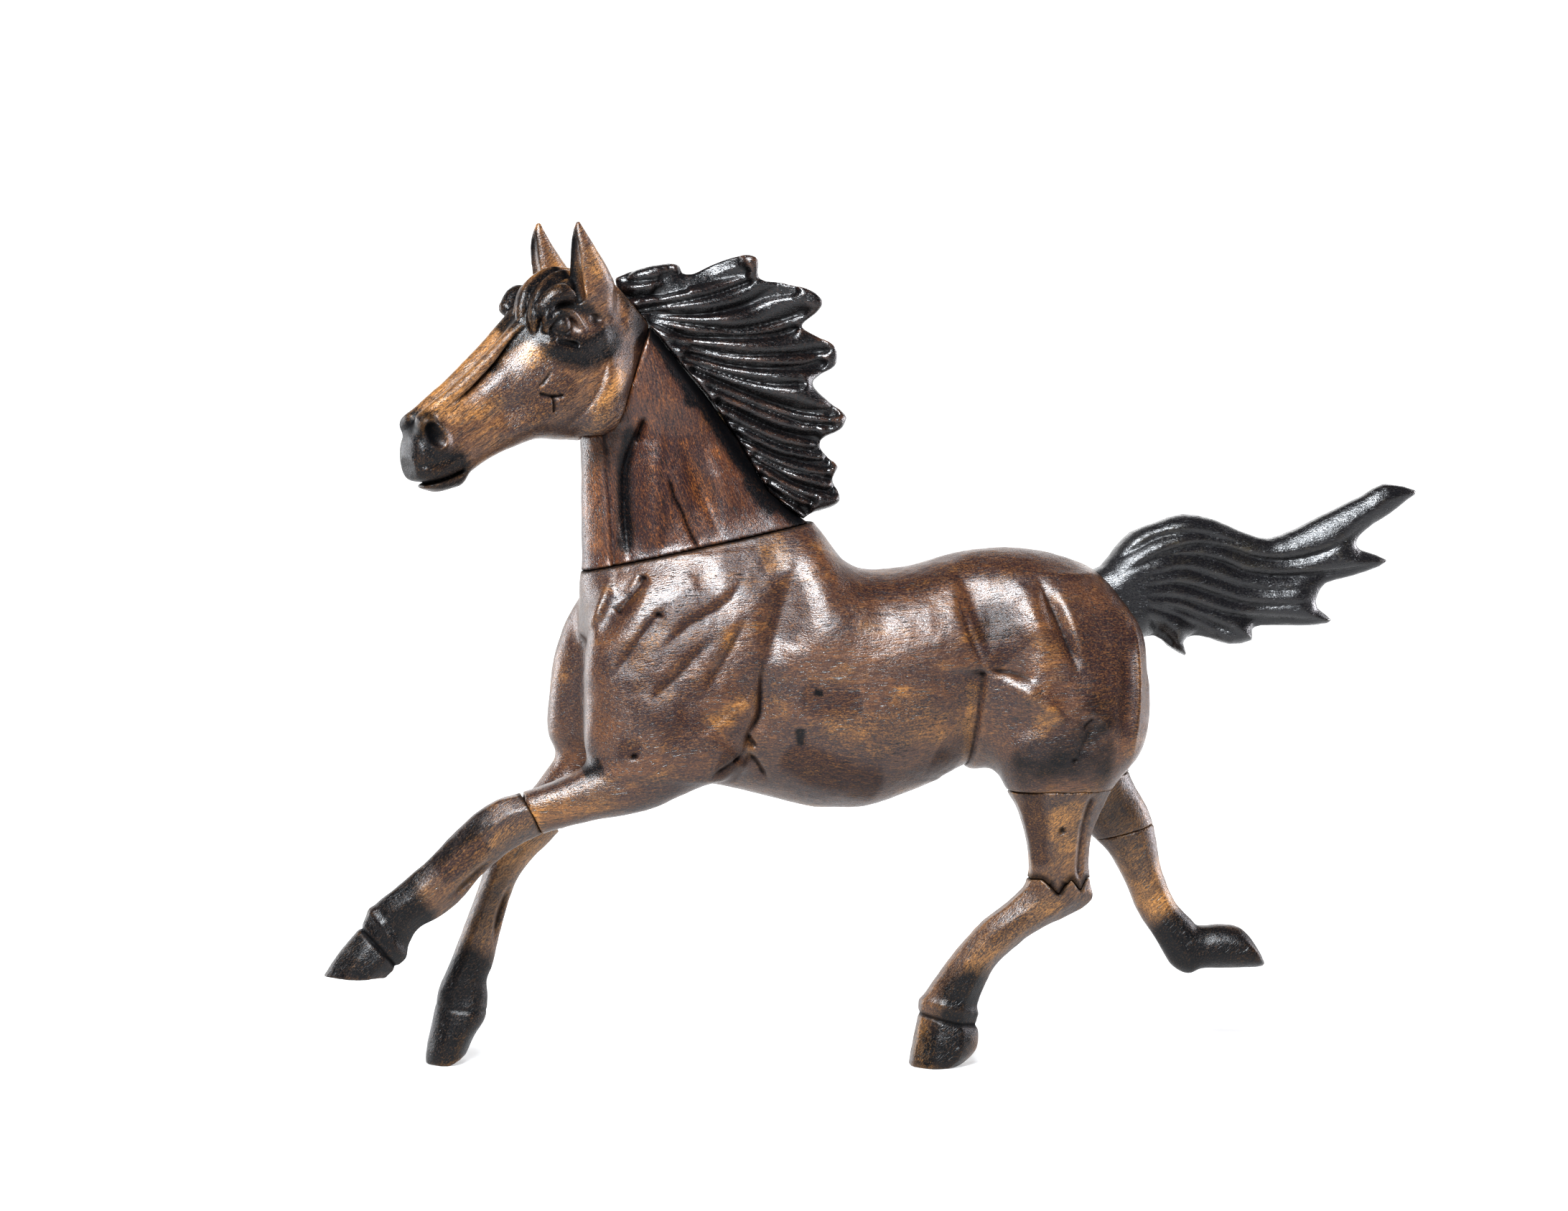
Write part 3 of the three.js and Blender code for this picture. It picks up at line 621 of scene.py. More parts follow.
# ---------------------------------------------------------------- wood shaders
class Shader:
    """A short way to write a node material."""

    def __init__(self, name):
        self.material = bpy.data.materials.new(name)
        self.material.use_nodes = True
        self.tree = self.material.node_tree
        self.tree.nodes.clear()

    def node(self, kind, inputs=None, **settings):
        made = self.tree.nodes.new(kind)
        for key, value in settings.items():
            setattr(made, key, value)
        for key, value in (inputs or {}).items():
            self.feed(made.inputs[key], value)
        return made

    def feed(self, socket, value):
        if isinstance(value, bpy.types.NodeSocket):
            self.tree.links.new(value, socket)
        else:
            socket.default_value = value

    def math(self, operation, a, b=0.5, clamp=False):
        made = self.node("ShaderNodeMath", {0: a, 1: b}, operation=operation, use_clamp=clamp)
        return made.outputs[0]

    def noise(self, coords, scale, detail=3.0, roughness=0.5):
        inputs = {"Vector": coords, "Scale": scale, "Detail": detail, "Roughness": roughness}
        return self.node("ShaderNodeTexNoise", inputs).outputs["Fac"]

    def stretched(self, coords, scale):
        made = self.node("ShaderNodeMapping", {"Vector": coords, "Scale": scale}, vector_type="POINT")
        return made.outputs[0]

    def ramp(self, value, low, high):
        inputs = {"Value": value, "From Min": low, "From Max": high}
        return self.node("ShaderNodeMapRange", inputs, clamp=True).outputs["Result"]

    def mix(self, factor, a, b):
        made = self.node("ShaderNodeMix", {"Factor": factor, "A": a, "B": b}, data_type="RGBA")
        return made.outputs["Result"]

    def attribute(self, name):
        return self.node("ShaderNodeAttribute", attribute_name=name).outputs["Fac"]

    def finish(self, surface):
        self.node("ShaderNodeOutputMaterial", {0: surface.outputs[0]})


def linear(value):
    """One sRGB channel from 0 to 255 as scene-linear light."""
    if value > 10:
        return ((value / 255 + 0.055) / 1.055) ** 2.4
    return value / 255 / 12.92


def colour(r, g, b):
    return (linear(r), linear(g), linear(b), 1.0)


# Noise in the wood: its stretch per mm along and twice across the grain, then scale, detail, roughness.
FIBRE = ((0.25, 2.2, 2.2), 1.0, 3.0, 0.6)
GRIT = ((0.9, 1.8, 1.8), 1.6, 2.0, 0.7)
STREAK = ((0.03, 0.22, 0.22), 1.0, 3.0, 0.55)
CLOUD = ((0.035, 0.07, 0.07), 1.0, 4.0, 0.6)
PATCH = ((0.05, 0.09, 0.09), 1.7, 5.0, 0.65)
PORES = ((0.28, 3.2, 3.2), 1.0, 2.0, 0.5)
PER_MM = (1000, 1000, 1000)
BEND_SCALE = 0.03
BEND = (6, 6, 6)  # mm that the grain wanders
STAIN_MOTTLE = 1.1  # how far the patches eat into a stain's edge
STAIN_EDGE = (0.2, 0.75)
BUMP_STRENGTH = 0.42
BUMP_DISTANCE = 0.0004
SPECULAR = 0.45
COAT = 0.6
COAT_ROUGHNESS = 0.72  # of the wood's own
BLACK = (0.0, 0.0, 0.0, 1.0)


def wood(name, grain, base, amber, shade, dye, roughness, dyed=0.0, seed=0.0):
    """Oiled, dyed hardwood. `grain` is the direction of its fibres; the four colours are the plain
    wood, where it is rubbed golden, where the stain pooled, and the black dye."""
    sh = Shader(name)
    turned = Vector(grain).normalized().to_track_quat("X", "Z").inverted().to_euler()
    placing = {
        "Vector": sh.node("ShaderNodeTexCoord").outputs["Object"],
        "Rotation": turned,
        "Scale": PER_MM,
        "Location": (seed, seed, seed),
    }
    aligned = sh.node("ShaderNodeMapping", placing).outputs[0]
    warp = sh.node("ShaderNodeTexNoise", {"Vector": aligned, "Scale": BEND_SCALE, "Detail": 1.0})
    bent = sh.node("ShaderNodeVectorMath", {0: warp.outputs["Color"], 1: BEND}, operation="MULTIPLY")
    aligned = sh.node("ShaderNodeVectorMath", {0: aligned, 1: bent.outputs[0]}, operation="ADD").outputs[0]
    fibre, grit, streak, cloud, patch, pores = (
        sh.noise(sh.stretched(aligned, stretch), *shape)
        for stretch, *shape in (FIBRE, GRIT, STREAK, CLOUD, PATCH, PORES)
    )

    def scaled(value, amount):
        return sh.math("MULTIPLY", value, amount)

    def kept(value, amount):
        return sh.math("SUBTRACT", 1.0, scaled(value, amount), clamp=True)

    # Where each stain, painted shade and painted highlight lies, with the patches eating into its edge
    mottle = scaled(sh.math("SUBTRACT", patch, 0.5), STAIN_MOTTLE)
    dark, gold, black = (
        sh.ramp(sh.math("ADD", sh.attribute(key), mottle), *STAIN_EDGE) for key in ("dark", "gold", "black")
    )
    # Grime and painted shade, from hollows, cracks, seams and the lines painted dark inside
    grime = sh.attribute("grime")
    wear = sh.attribute("wear")
    # Golden where the wood is rubbed; one gold mark paints a highlight down the nose bridge
    golden = sh.math("ADD", sh.ramp(patch, 0.54, 0.74), gold, clamp=True)
    golden = sh.math("MULTIPLY", golden, sh.ramp(grit, 0.2, 0.56))
    golden = sh.math("ADD", golden, scaled(wear, 0.55), clamp=True)
    # Pooled stain; some dark marks also paint shade into hollows and cuts
    pooled = sh.math("ADD", sh.ramp(cloud, 0.4, 0.58), dark, clamp=True)
    pooled = sh.math("MULTIPLY", pooled, sh.ramp(grit, 0.85, 0.4))
    coat = sh.math("ADD", black, dyed, clamp=True)
    rubbed = sh.math("MULTIPLY", wear, sh.ramp(patch, 0.42, 0.62))
    coat = sh.math("SUBTRACT", coat, scaled(rubbed, 0.6), clamp=True)
    coat = sh.math("MULTIPLY", coat, sh.ramp(grit, 1.1, 0.5))

    # Colour, from the plain wood up: each layer's noise, its range, its strength and its pigment
    tone = sh.mix(golden, base, amber)
    tone = sh.mix(scaled(pooled, 0.85), tone, shade)
    for source, low, high, amount, pigment in (
        (fibre, 0.62, 0.36, 0.55, shade),
        (fibre, 0.52, 0.72, 0.22, amber),
        (streak, 0.45, 0.6, 0.3, shade),
        (grit, 0.5, 0.34, 0.4, shade),
        (grit, 0.54, 0.72, 0.25, amber),
        (pores, 0.43, 0.33, 0.8, dye),
    ):
        tone = sh.mix(scaled(sh.ramp(source, low, high), amount), tone, pigment)
    tone = sh.mix(coat, tone, dye)
    # Grime and painted shade, mixed toward black
    tone = sh.mix(scaled(grime, 0.88), tone, sh.mix(0.35, dye, BLACK))

    # Gloss: matter where the stain pooled and in the grime and painted shade, glossier on the dye
    rough = sh.math("ADD", scaled(sh.math("SUBTRACT", grit, 0.5), 0.55), roughness)
    for source, amount in ((dark, 0.06), (coat, -0.04), (grime, 0.25), (sh.ramp(cloud, 0.4, 0.7), 0.08)):
        rough = sh.math("ADD", rough, scaled(source, amount))
    rough = sh.math("ADD", rough, 0.0, clamp=True)
    polish = kept(grime, 0.85)
    for source in (black, dark):
        polish = sh.math("MULTIPLY", polish, kept(source, 0.5))

    height = sh.math("ADD", scaled(fibre, 0.5), scaled(grit, 0.65))
    height = sh.math("SUBTRACT", height, scaled(sh.ramp(pores, 0.36, 0.27), 0.6))
    height = sh.math("ADD", height, scaled(patch, 0.6))
    relief_of_grain = {"Height": height, "Strength": BUMP_STRENGTH, "Distance": BUMP_DISTANCE}
    bump = sh.node("ShaderNodeBump", relief_of_grain).outputs[0]
    look = {
        "Base Color": tone,
        "Roughness": rough,
        "Normal": bump,
        "Specular IOR Level": scaled(polish, SPECULAR),
        "Coat Weight": scaled(polish, COAT),
        "Coat Roughness": scaled(rough, COAT_ROUGHNESS),
        "Coat Normal": bump,
    }
    sh.finish(sh.node("ShaderNodeBsdfPrincipled", look))
    return sh.material


BROWN = colour(92, 60, 39)
AMBER = colour(152, 107, 54)
SHADE = colour(34, 22, 26)
INK = colour(9, 10, 13)


# ---------------------------------------------------------------- blocks
NEAR, OFF = -1, 1


# Stain name, strength, width and the line it was brushed along; a few entries are painted shade
TRUNK_STAINS_AND_SHADE = (
    ("gold", 0.8, 5.5, [(-24, 146), (-34, 143)]),
    ("dark", 1.0, 5.5, [(-62, 180), (-63, 142)]),
    ("black", 0.85, 2.6, [(-67, 182), (-70, 166), (-69, 141)]),
    ("gold", 0.9, 2.4, [(-78, 178), (-77.6, 141)]),
    ("dark", 0.95, 7.0, [(-16, 144), (0, 138), (20, 142), (44, 145), (64, 138)]),
    ("dark", 0.9, 8.0, [(66, 134), (71, 112), (66, 92)]),
    # Painted shade and pooled stain in the flank hollow above the fold
    ("black", 0.45, 7.0, [(30, 134), (34, 120)]),
    ("dark", 0.8, 7.0, [(-74, 122), (-62, 104), (-50, 92)]),
    ("dark", 0.75, 13.0, [(-62, 130), (-48, 116)]),
    ("dark", 0.7, 9.0, [(-44, 146), (-30, 140)]),
    ("dark", 0.9, 8.0, [(-58, 178), (-52, 160), (-44, 148)]),
    ("gold", 0.8, 1.8, [(25.4, 112), (25, 84)]),
    ("gold", 0.55, 6.0, [(-20, 97), (4, 97), (22, 96)]),
    ("gold", 0.4, 4.0, [(0, 106), (16, 104)]),
    # Painted shade and pooled stain in the flank hollow above the fold
    ("dark", 0.95, 7.0, [(29, 132), (33, 122), (38, 115)]),
    ("dark", 0.8, 6.0, [(52, 126), (60, 114), (60, 98)]),
    ("dark", 0.9, 5.0, [(-28, 141), (-25, 128), (-29, 120)]),
    ("dark", 0.8, 5.0, [(-24, 106), (-14, 104), (-4, 105)]),
    ("dark", 0.9, 6.0, [(-28, 92), (-14, 84), (4, 80)]),
    ("dark", 0.6, 6.0, [(14, 88), (24, 84)]),
    ("dark", 0.7, 4.5, [(-66, 104), (-52, 108), (-44, 112)]),
    ("dark", 0.7, 3.5, [(-44, 134), (-56, 126)]),
    ("dark", 0.8, 5.0, [(-46, 88), (-36, 84)]),
    # Darker toward the bottom of the haunch
    ("black", 0.62, 8.0, [(34, 85), (50, 88), (68, 88)]),
    ("black", 0.4, 8.0, [(54, 104), (62, 94)]),
    ("black", 0.9, 1.6, [(-22.4, 97), (-21.8, 91)]),
    ("black", 0.8, 1.3, [(-19, 107), (-16, 106)]),
    ("gold", 0.7, 2.6, [(-36, 105), (-48, 97)]),
    ("gold", 0.5, 3.2, [(-70, 110), (-56, 106)]),
    ("gold", 0.6, 2.4, [(-58, 128), (-69, 112)]),
    ("gold", 0.5, 3.0, [(-46, 124), (-40, 118)]),
    ("gold", 0.6, 2.2, [(-38, 94), (-34, 88)]),
    ("gold", 0.5, 3.5, [(42, 92), (48, 104)]),
    ("gold", 0.55, 5.0, [(-98, 72), (-84, 77), (-70, 81)]),
    ("black", 0.7, 3.0, [(-82, 84.5), (-76, 87)]),
    ("dark", 0.8, 3.5, [(-73, 92), (-66, 90)]),
)


def carve_trunk(block):
    """Barrel, shoulders, thighs, neck and the stubs of the forearms, with their muscle cuts."""
    block.loft(BARREL, BARREL_SQUARENESS, ring=72)
    block.loft(NECK, BARREL_SQUARENESS, blend=6, ring=64)
    block.loft(NEAR_SHOULDER, BARREL_SQUARENESS, blend=4)
    block.loft(OFF_SHOULDER, BARREL_SQUARENESS, blend=4)
    block.loft(NEAR_HIND[:7], LIMB_SQUARENESS, blend=5)
    block.loft(OFF_HIND[:7], LIMB_SQUARENESS, blend=5)
    block.loft(NEAR_FORELEG[:7], LIMB_SQUARENESS, blend=4)
    block.loft(OFF_FORELEG[:6], LIMB_SQUARENESS, blend=4)

    for side in (NEAR, OFF):
        # Flank, where the barrel laps the haunch above its fold and the thigh laps the barrel below
        block.stroke([(-16, 124), (18, 121)], 11, -0.7, side, taper=0.0)
        # The hollow above the fold is painted dark, partly pooled stain and partly painted shade, and the
        # fold's lower cut gets grime and painted shade
        block.stroke([(20, 146), (27, 128), (31, 112)], (9.0, 3.5), 2.4, side, taper=0.6, dark=0.5)
        block.crease([(21, 135), (23.8, 124), (26.6, 117), (28.6, 112.5)], 1.6, 0.7, 0.9, side, dark=0.6)
        fold = [(28.6, 113), (27.8, 104), (27.2, 94), (27.2, 80)]
        block.crease(fold, 0.9, 5.5, 2.0, side, taper=0.05, dark=0.5)
        block.crease([(28.2, 112.6), (36, 111.8), (43, 109)], 5.0, 0.8, 1.8, side, grime=0.5)
        # Thigh muscles
        block.stroke([(44, 139), (48.6, 127), (55, 111)], 3.2, 1.0, side)
        thigh = [(43.6, 139), (46, 133), (48.6, 127), (51.8, 119), (55.5, 110)]
        block.crease(thigh, 1.6, 1.1, 1.3, side, dark=0.6)
        block.stroke([(38, 139), (42, 128), (45.5, 115)], 4.2, -1.1, side)
        block.stroke([(49, 137), (52.6, 126), (57, 112)], 2.4, -0.7, side)
        block.stroke([(58, 138), (62, 122), (62, 102)], 6.0, 0.9, side)
        block.stroke([(33, 110), (42.6, 104.3), (52, 97)], 3.2, -1.5, side)
        block.stroke([(35, 100), (45, 95)], 4.0, 0.9, side)
        block.crease([(61, 101), (57, 95), (53.5, 86)], 3.0, 0.9, 0.9, side, dark=0.4)
        # Back edge of the buttock
        block.stroke([(67.6, 128), (68.4, 108), (66.2, 86)], 2.6, 1.1, side)
        block.stroke([(71.6, 129), (72.4, 108), (70.2, 84)], 1.3, -1.2, side)
        block.stroke([(75.6, 122), (75.4, 95)], 2.0, 0.9, side)
        # Shoulder blade's rear edge, elbow and triceps
        block.stroke([(-21, 145), (-25, 134), (-29.5, 122), (-33.4, 110)], (7.0, 4.0), 2.2, side, taper=0.45)
        triceps = [(-31.5, 119), (-33, 110), (-33.2, 101), (-35.8, 95.5), (-38.4, 87)]
        block.crease(triceps, 4.5, 0.9, 2.6, side, taper=0.5, dark=0.6)
        block.crease([(-33, 111.5), (-36, 107.5), (-42, 101.5), (-53, 93)], 1.2, 5.0, 0.7, side, dark=0.3)
        # The chisel cuts at the elbow are painted dark inside: grime and painted shade
        block.crease([(-36.6, 90.6), (-41, 87), (-47.5, 83)], 1.6, 0.5, 1.5, side, grime=0.5)
        block.crease([(-36.6, 91), (-33, 86.6), (-29.6, 81)], 0.5, 1.8, 1.6, side, grime=0.5)
        block.crease([(-36.8, 96), (-35.2, 93), (-33, 90.4)], 0.5, 1.2, 1.3, side, grime=0.6)
        # Slanting cuts over the shoulder, crisp above and running out below
        for cut in (
            [(-37.5, 138.5), (-43.2, 131), (-53.3, 125), (-62, 117)],
            [(-36.6, 129), (-42.6, 117.5), (-50, 105.5)],
            [(-56, 133), (-64.5, 124), (-75.5, 108)],
            [(-47, 122), (-56, 112), (-66, 103)],
        ):
            block.crease(cut, 5.0, 1.1, 1.25, side, dark=0.5)
        block.stroke([(-44, 141), (-52, 134)], 3.5, 0.5, side)
        block.stroke([(-66, 140), (-71.5, 130), (-78.5, 118)], 2.8, 1.6, side, dark=0.3)
        block.stroke([(-72.5, 139), (-77, 131), (-81, 121)], 2.0, -1.3, side)
        block.stroke([(-70, 106), (-60, 100), (-52, 98)], 5.5, -1.0, side)
    # Two nicks on the near haunch, painted dark inside: grime and painted shade
    block.crease([(55.3, 95.5), (57.5, 98.6), (60.2, 99.5)], 0.5, 0.5, 0.9, NEAR, grime=0.9)
    block.crease([(52.4, 87.6), (55.4, 88)], 0.5, 0.5, 0.9, NEAR, grime=0.9)
    # Pits where the stain stayed glassy, on the near side only; the two small ones are painted dark inside
    # with grime and painted shade
    block.stroke([(-64.2, 138.1), (-67.5, 133), (-72, 127.4)], 1.1, 1.5, NEAR, taper=0.05, dark=1.0)
    block.stroke([(-60.8, 128.6), (-61.6, 126.8)], 0.9, 1.2, NEAR, grime=0.7)
    block.stroke([(-68.6, 90.2), (-67.4, 88.4)], 0.9, 1.2, NEAR, grime=1.0)

    # Neck: throat strip, jugular channel, drying crack and the long hollow behind it
    for side in (NEAR, OFF):
        block.crease([(-75.6, 180), (-73.6, 160), (-72.4, 139)], 2.4, 0.8, 1.3, side, taper=0.05, dark=0.5)
        jugular = [(-63.6, 186), (-67.2, 175), (-69.7, 166), (-69.4, 152), (-68, 138)]
        block.crease(jugular, 3.2, 1.4, 2.4, side, dark=0.7)
        block.stroke([(-59, 182), (-61.5, 168), (-62, 150), (-61, 139)], 3.6, -1.3, side)
        block.stroke([(-55, 177), (-48.5, 161.4), (-42, 146)], 2.8, 1.8, side, taper=0.5, gold=0.9)
        block.stroke([(-59, 172), (-51.4, 152)], 3.4, -0.8, side, taper=0.5)
        block.stroke([(-47, 172), (-37, 152)], 3.8, -0.8, side, taper=0.5)
    # The slit at the top of the jugular channel and the drying crack are painted dark inside: grime and
    # painted shade
    block.crease([(-64.2, 182), (-65.4, 178), (-66.5, 173)], 1.0, 0.5, 2.6, NEAR, grime=1.0)
    crack = [
        (-58, 165.4), (-56.6, 160.6), (-56.2, 159.2), (-53.9, 155),
        (-53.4, 153.6), (-52, 150), (-49.1, 144.4),
    ]
    block.crease(crack, 0.3, 0.4, 1.3, NEAR, taper=0.12, grime=1.0)

    # Stains and painted shade as seen on the near side, and the golden back edge of the buttocks on both
    for name, amount, width, line in TRUNK_STAINS_AND_SHADE:
        block.stain(name, line, width, amount, NEAR)
    block.stain("gold", [(74, 122), (74, 90)], 3.0, 0.6)


def stain_seam(block, seam, width=0.75, amount=0.95):
    # A dark line painted along a glue line: partly the joint's dark glue, partly painted shade of the gap
    block.stain("grime", [seam[0], seam[1]], width, amount, taper=0.0)


def torso_block():
    block = Block((-97, -29, 66), (84, 29, 157), BODY_PITCH)
    carve_trunk(block)
    stain_seam(block, NECK_SEAM)
    block.below(NECK_SEAM, HALF_GAP)
    block.keep(leg_stub_cut(block), SEAM_ROUNDING)
    past_tail_seam = HALF_GAP - side_of(block.x, block.z, TAIL_SEAM)
    notch = np.maximum(past_tail_seam, np.abs(block.y) - TAIL_NOTCH_HALF_WIDTH)
    block.d = np.maximum(block.d, -notch.astype(np.float32))
    return block


def leg_stub_cut(block):
    """Positive beyond the leg seams, where the legs' own blocks begin, each only on its own leg."""
    cut = np.full(np.broadcast(block.x, block.y, block.z).shape, -BAND, np.float32)
    near = np.clip(block.y + 1.0, -BAND, BAND)
    off = np.clip(1.0 - block.y, -BAND, BAND)
    fore = np.clip(block.x + 70.0, -BAND, BAND)
    hind = np.clip(28.0 - block.x, -BAND, BAND)
    for seam, side, end in (
        (NEAR_FOREARM_SEAM, near, fore),
        (OFF_FOREARM_SEAM, off, fore),
        (NEAR_STIFLE_SEAM, near, hind),
        (OFF_STIFLE_SEAM, off, hind),
    ):
        beyond = -side_of(block.x, block.z, seam)
        beyond = np.minimum(beyond, -side)
        beyond = np.minimum(beyond, -end)
        cut = np.maximum(cut, beyond.astype(np.float32))
    return cut


def neck_block():
    block = Block((-84, -18, 136), (-14, 18, 216), FINE_PITCH)
    carve_trunk(block)
    stain_seam(block, NECK_SEAM)
    block.above(NECK_SEAM, HALF_GAP)
    x = block.x[:, 0, :]
    z = block.z[0, :, :]
    for seat in (HEAD_SEAT, CREST_SEAT):
        block.keep(HALF_GAP - polygon_distance(x, z, seat)[:, None, :] + 0 * block.y)
    crest = [(-69, 213), (-61, 203), (-47.7, 186), (-36, 168.5), (-21, 153)]
    block.stain("black", crest, 3.2, 1.0, taper=0.0)
    # A dark line at the mane's seat: partly the joint, partly painted shade of the gap
    block.stain("grime", crest, 1.6, 1.0, taper=0.0)
    block.stain("black", [(-58, 198), (-52, 188), (-53, 183)], 2.4, 0.8)
    block.stain("black", [(-36, 166), (-31, 158), (-27, 155)], 3.0, 0.8)
    return block


def head_block():
    block = Block((-74, -16, 158), (10, 16, 237), FINE_PITCH)
    block.loft(HEAD, LIMB_SQUARENESS, ring=64)
    both = {"mirror": True}
    # Cheek, brow, cheekbone, flat nose bridge, chin and nostril wings
    block.tube([(-12, 5.2, 190, 7.4), (-12.5, 5.2, 185, 7.0)], blend=4, **both)
    block.tube([(-7, 6.4, 181.4, 4.6), (-14, 6.6, 180.4, 4.8)], blend=3, **both)
    block.tube([(-32.4, 8.6, 210.6, 2.2), (-28, 9.8, 214.4, 2.6), (-20, 9.6, 214, 2.3)], blend=2.5, **both)
    block.tube([(-31, 9.4, 200.6, 1.8), (-24, 10.0, 200, 2.3), (-15, 9.8, 203.5, 2.2)], blend=2.5, **both)
    block.tube([(-33, 3.6, 208.4, 2.0), (-50, 3.2, 192.6, 2.2), (-66.5, 2.4, 180.6, 1.8)], blend=2.0, **both)
    block.tube([(-60.5, 0, 164.6, 3.0), (-54.5, 0, 165.6, 3.0)], blend=1.5)
    block.tube([(-66, 4.4, 179, 2.6), (-63, 5.0, 175, 2.6)], blend=2.0, **both)
    for side in (NEAR, OFF):
        bridge_foot = [(-33, 207.6), (-38, 203.4), (-45, 195), (-53.3, 187.4), (-60.5, 184)]
        block.crease(bridge_foot, 3.0, 0.8, 2.2, side, dark=0.6)
        block.stroke([(-39, 198), (-47, 190), (-57, 184)], 2.2, -0.6, side)
        jaw_line = [(-24.6, 176.5), (-17.2, 186.6), (-14.2, 194), (-12.2, 200)]
        block.crease(jaw_line, 4.4, 0.8, 0.8, side, dark=0.6)
        block.stroke([(-50, 179), (-40, 184), (-31, 186.6)], 3.4, 1.0, side)
        block.stroke([(-46, 174.4), (-36, 178.6), (-28, 180)], 2.4, -0.6, side)
    # The off side of the poll, where the turned head would leave the neck's top bare
    block.tube([(-2, 4.6, 212, 5.6), (0, 5, 200, 7.2), (-2, 5, 190, 7.4), (-6, 4.6, 183, 6.6)], blend=4)
    # Eye: a socket sunk under the brow, the ball left standing in it
    block.dig([(-29.4, 13.4, 205.4, 3.4), (-25, 13.6, 206, 3.6)], blend=0.8, **both)
    block.tube([(-27, 9.2, 206, 3.0)], blend=0.3, **both)
    upper_lid = [
        (-32.4, 9.9, 204.6, 0.7), (-29, 11.2, 209, 1.1), (-24, 11.4, 208.8, 1.1), (-19.6, 10.6, 203.4, 0.8),
    ]
    block.tube(upper_lid, blend=0.8, **both)
    block.tube([(-31, 10.0, 202.8, 0.6), (-27, 10.8, 202, 0.8), (-21.6, 10.8, 203, 0.6)], blend=0.8, **both)
    block.tube([(-20.6, 9.4, 204.4, 2.0), (-17.8, 9.2, 203.6, 1.8)], blend=1.0, **both)
    block.dig([(-18.6, 11.8, 211.4, 1.6), (-16.4, 11.6, 208, 1.5)], blend=1.0, **both)
    block.dig([(-28.6, 11.6, 201.6, 0.9), (-24, 12, 200.6, 0.9)], blend=0.6, **both)
    # Nostril and mouth, the mouth's slit painted dark inside with grime and painted shade
    nostril = [(-66.8, 8.4, 178.8, 1.9), (-65.4, 7.4, 177.0, 2.9), (-63.6, 7.4, 175.4, 2.4)]
    block.dig(nostril, blend=0.4, **both)
    mouth = [(-73, 163.6), (-67.5, 163.4), (-60, 164.8), (-53.2, 167.2)]
    block.crease(mouth, 0.6, 0.6, 2.4, taper=0.05, grime=1.0)
    block.crease([(-70, 168), (-64, 168.6), (-58, 170.6)], 1.6, 0.6, 0.7, taper=0.3)
    # Carver's notch and a crack on the near cheek, painted dark inside with grime and painted shade
    block.crease([(-34, 187.6), (-30, 186.8), (-26.6, 187.2)], 0.4, 0.6, 1.0, NEAR, taper=0.05, grime=1.0)
    block.crease([(-29.6, 187), (-28.9, 182.4)], 0.5, 0.5, 1.0, NEAR, taper=0.05, grime=1.0)
    block.crease([(-30.2, 195), (-32.6, 191), (-35.8, 188.4)], 0.3, 0.3, 0.8, NEAR, grime=1.0)
    # Ears
    mirrored = [[*row[:5], -row[5]] for row in EAR]
    block.loft(EAR, 2.2, blend=2.0, ring=32)
    block.loft(mirrored, 2.2, blend=2.0, ring=32)
    for y in (-10.8, 9.4):
        tip = (-23.4, y * 0.95, 231.4, 0.5)
        hollow = [tip, (-24.2, y, 226, 1.9), (-24.2, y, 220, 2.8), (-22, y, 213.5, 1.7)]
        block.dig(hollow, blend=0.3)
    block.stroke([(-9.4, 219), (-9, 211), (-6, 204)], 2.2, 0.7)
    # Forelock, swept over the brow toward the near side
    locks = [
        [(-12, 2.4, 218, 1.8), (-23, 3.0, 218, 2.2), (-30.4, 2.4, 214.8, 2.0), (-34.6, 1.0, 209.2, 0.8)],
        [
            (-12, -0.4, 218.4, 2.0), (-23, -0.2, 219, 2.4), (-31.4, -1.4, 215.8, 2.3),
            (-35.6, -3.2, 209.6, 1.8), (-36.2, -4.4, 204.8, 0.6),
        ],
        [
            (-13, -3.2, 218, 2.0), (-23, -3.8, 218, 2.4), (-30.4, -5.4, 214.4, 2.3),
            (-34, -7.0, 208.4, 1.9), (-34.4, -7.8, 203.4, 0.6),
        ],
        [
            (-15, -6.0, 217, 1.6), (-23, -7.2, 216.4, 1.9), (-29, -8.8, 213, 1.8),
            (-32, -10.0, 208, 1.4), (-32.2, -10.4, 204, 0.5),
        ],
    ]
    for lock in locks:
        block.tube(lock, blend=0.3)
        ridge = [(x - 0.4, y - 0.5, z + r * 0.75, r * 0.45) for x, y, z, r in lock]
        block.tube(ridge, blend=0.25)

    # Seat against the neck and the mane, found in the turned position
    c, s = math.cos(HEAD_TURN), math.sin(HEAD_TURN)
    x = POLL[0] + block.x * c - block.y * s + 0 * block.z
    z = block.z + 0 * x
    block.keep(HALF_GAP + polygon_distance(x, z, HEAD_SEAT))
    block.keep(HALF_GAP - polygon_distance(x, z, CREST_SEAT))

    block.stain("black", [(-71, 172), (-66, 168), (-58, 166.5)], 6.5, 1.0, taper=0.0)
    block.stain("black", [(-66, 178)], 5.2, 1.0)
